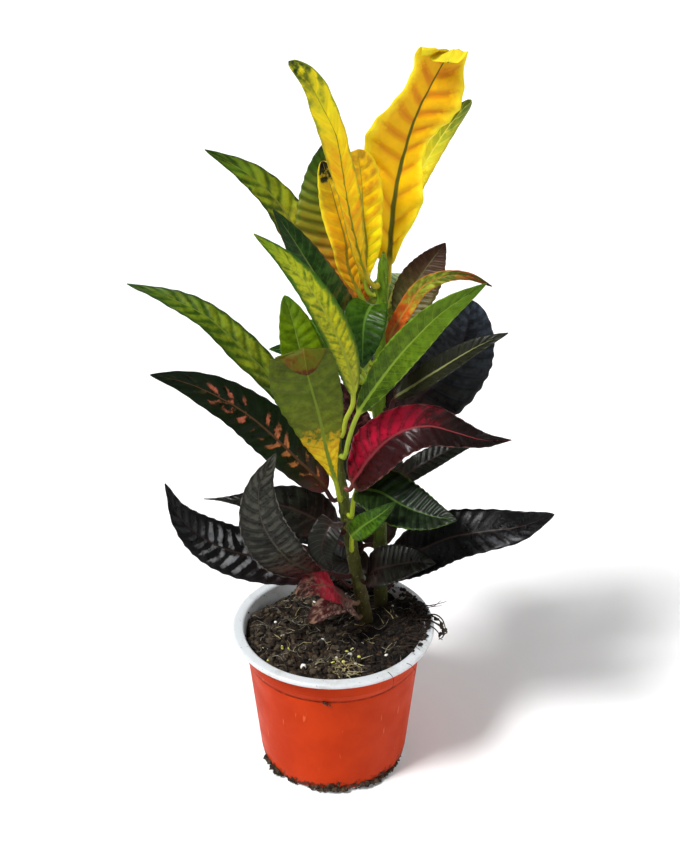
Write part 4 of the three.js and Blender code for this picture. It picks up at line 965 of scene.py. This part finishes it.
# Its grey streaks on the ridges between the veins, and its grey veins, are painted highlights.
black_leaf("leaf_front_charcoal", SHORT, 126, 27, 0.2, [(-4, -11, 136), (-19, -22, 148), (-30, -35, 168),
    (-38, -44, 192), (-38, -50, 217), (-29, -52, 237)], (0, -1, 0.3), fold=(15, 15), veins=18, quilt=0.8,
    ground="0 3c1418, 0.15 201412, 0.45 131310, 1 14150e", streak="0 5c2828, 0.3 3c3c33, 1 4a4a40",
    share=0.34, grain=(1.1, 0.8), field=0.8, soft=0.12, zone=(0.1, 0.85), vein="#5c5c50", vein_show=0.2,
    rib="#3c3a2e", edge="#7a7568", edge_show=0.5, edge_wide=0.05)
black_leaf("leaf_left_thin_black", SHORT, 148, 32, 0.1, [(-4, 3, 158), (-18, 7, 165), (-36, 11, 169),
    (-56, 13, 170), (-75, 16, 169)], (0, -0.4, 1), shape=(0.7, 2), fold=(8, 8), veins=15, quilt=0.4,
    ground="0 24130f, 0.3 0e0e0c, 1 0b0b0a")
black_leaf("leaf_inner_charcoal", SHORT, 160, 16, 0.2, [(1, -12, 170), (-4, -17, 166), (-6, -20, 156),
    (-1, -22, 144)], (-0.2, -1, 0.5), fold=(15, 15), wave=(1, 2, 0), veins=15,
    ground="0 3c1e1c, 0.3 1f1f1b, 1 1b1c18", vein="#5c5c54")
# Its pale grey streaks in the fields between the veins, midway along, are painted highlights.
black_leaf("leaf_bottom_left_charcoal", SHORT, 118, 28, 0.15, [(-2, -5, 133), (-20, -9, 140), (-40, -16, 149),
    (-59, -24, 160), (-74, -32, 175), (-84, -38, 192), (-89, -40, 212)], (0.1, -0.9, 0.9), wave=(1, 2, 0),
    veins=16, quilt=0.9, crumple=0.4, ground="0 4f1c22, 0.18 201416, 0.45 0d0d0e, 1 0b0b0c",
    streak="0 5c2a30, 0.2 2c2224, 0.35 7c7d80, 0.6 8a8b8e, 0.72 2c2d30, 1 0e0e10", share=0.2, grain=(1, 1.3),
    field=0.9, soft=0.08, zone=(0.1, 0.75), vein="#1c1d20", vein_show=0.2)
black_leaf("leaf_bottom_inner_black", SHORT, 122, 24, 0.12, [(24, -6, 134), (34, -10, 140), (46, -14, 145),
    (58, -18, 147)], (0, -0.7, 1), fold=(10, 10), veins=15, ground="0 24110f, 0.4 100e0c, 1 0d0c0a")
# Its pink streaks are painted highlights.
black_leaf("leaf_centre_maroon", TALL, 212, 18, 0.15, [(15, 6, 216), (11, 3, 228), (7, 0, 240), (4, -2, 253)],
    (0, -1, 0.4), veins=12, ground="0 3c1416, 0.5 341214, 1 240f0e", streak="0 6c3034, 0.5 8a5456, 1 4c2426",
    share=0.3, grain=(1.2, 2), soft=0.1, vein="#4c2022")
black_leaf("leaf_inner_black", TALL, 132, 28, 0.12, [(11, 25, 129), (0, 23, 138), (-12, 22, 142),
    (-26, 21, 137)], (0, -0.4, 1), fold=(10, 10), veins=15, crumple=0,
    ground="0 200f0e, 0.4 0f0f0b, 1 0c0d09")
black_leaf("leaf_back_low", TALL, 122, 30, 0.12, [(26, 38, 132), (22, 52, 138), (19, 66, 138), (17, 80, 132)],
    (0, -0.3, 1), quilt=0.1, crumple=0, ground="0 2a1a16, 0.4 14160f, 1 10120c")
black_leaf("leaf_back_right_inner", TALL, 182, 26, 0.12, [(33, 34, 192), (40, 50, 198), (47, 66, 198),
    (53, 81, 192)], (0, -0.3, 1), ground="0 2c1e16, 0.4 161a10, 1 12160d")

# Dried leaves: two at the foot of the short stem, curled and dull, with a last crimson patch on the larger
# one. They still hang by their stalks.
dried_leaf = functools.partial(grow_leaf, "leaf_dried", shape=(0.6, 0.5), fold=(-20, 10), wave=(1.5, 2, 0),
    crumple=1.3, soft=0.08, rough=0.6, glow=0.03)
dried_leaf("leaf_dried_left", SHORT, 106, 16, 0.15, [(6, -12, 119), (-2, -25, 136), (-12, -33, 142),
    (-20, -38, 138)], (0, -0.8, 1), veins=12, quilt=0.5,
    ground="0 4c342c, 0.2 2c1416, 0.45 820c22, 0.68 8a0e24, 0.84 2a1212, 1 1e120e",
    streak="0 8c6a5c, 0.3 5c302c, 0.55 a8142c, 0.8 6c463c, 1 7a5a4a", share=0.34, grain=(1.6, 2.4),
    vein="#5c3c34", vein_show=0.35, rib="#5c3a30", edge="#1e120e", under="#3c2422", stalk="#6a5040")
dried_leaf("leaf_dried_front", SHORT, 94, 12, 0.15, [(9, -4, 110), (3, -12, 116), (-5, -19, 117),
    (-14, -25, 111)], (0, -1, 0.6), veins=10, quilt=0.4, ground="0 5c463a, 0.4 3c2422, 0.7 4c1a1e, 1 241612",
    streak="0 957c6a, 0.5 a88478, 1 745848", share=0.38, grain=(1.6, 2.6), vein="#4c322a", vein_show=0.4,
    rib="#54382e", edge="#241612", under="#54382f", stalk="#6c5444")

# Floor: a plain pale studio sheet that the pot stands on, swept up all round far off. It isn't part of the
# plant. It is one turned shape.
SHEET_FLAT = 4
SHEET_BEND = 3
SHEET_TOP = 6
sweep = [(0, 0), (SHEET_FLAT / 2, 0), (SHEET_FLAT, 0)]
sweep += arc((SHEET_FLAT, SHEET_BEND), SHEET_BEND, -80, 0, 8) + [(SHEET_FLAT + SHEET_BEND, SHEET_TOP)]
sheet = turn_profile([(r / MM, z / MM) for r, z in sweep], 64)
floor_mesh = bpy.data.meshes.new("studio_floor")
sheet.to_mesh(floor_mesh)
sheet.free()
floor_mesh.shade_smooth()
floor = bpy.data.objects.new("studio_floor", floor_mesh)
bpy.context.scene.collection.objects.link(floor)
floor_material, tree, shader = new_skin("studio_floor", 0.95, Specular_IOR_Level=0.1)
shader.inputs["Base Color"].default_value = (0.9, 0.9, 0.9, 1)
floor_mesh.materials.append(floor_material)

# Light: a pale room and one broad soft light high on the left, as in a studio. Its wide angle keeps the
# shadow on the floor soft.
ROOM_LIGHT = 0.29
LAMP_POWER = 3.9
LAMP_ANGLE = 16
LAMP_FROM = Vector((-0.66, -0.47, 1.04))
world = bpy.data.worlds.new("studio")
bpy.context.scene.world = world
world.use_nodes = True
backdrop = world.node_tree.nodes["Background"]
backdrop.inputs["Color"].default_value = (1, 1, 1, 1)
backdrop.inputs["Strength"].default_value = ROOM_LIGHT
lamp = bpy.data.lights.new("broad_light", "SUN")
lamp.energy = LAMP_POWER
lamp.angle = math.radians(LAMP_ANGLE)
light = bpy.data.objects.new("broad_light", lamp)
light.rotation_euler = (-LAMP_FROM).to_track_quat("-Z", "Y").to_euler()
bpy.context.scene.collection.objects.link(light)

# Camera: where the photograph was taken from, about 28 degrees above level. It looks at the middle of the
# plant.
STAND = Vector((0.004, -0.689, 0.591))
AIM = Vector((0.004, 0, 0.226))
LENS = 59.9
lens = bpy.data.cameras.new("camera")
lens.lens = LENS
lens.sensor_width = 36
lens.clip_start = 0.01
camera = bpy.data.objects.new("camera", lens)
camera.location = STAND
camera.rotation_euler = (AIM - STAND).to_track_quat("-Z", "Y").to_euler()
bpy.context.scene.collection.objects.link(camera)
bpy.context.scene.camera = camera
bpy.context.scene.view_settings.view_transform = "Standard"
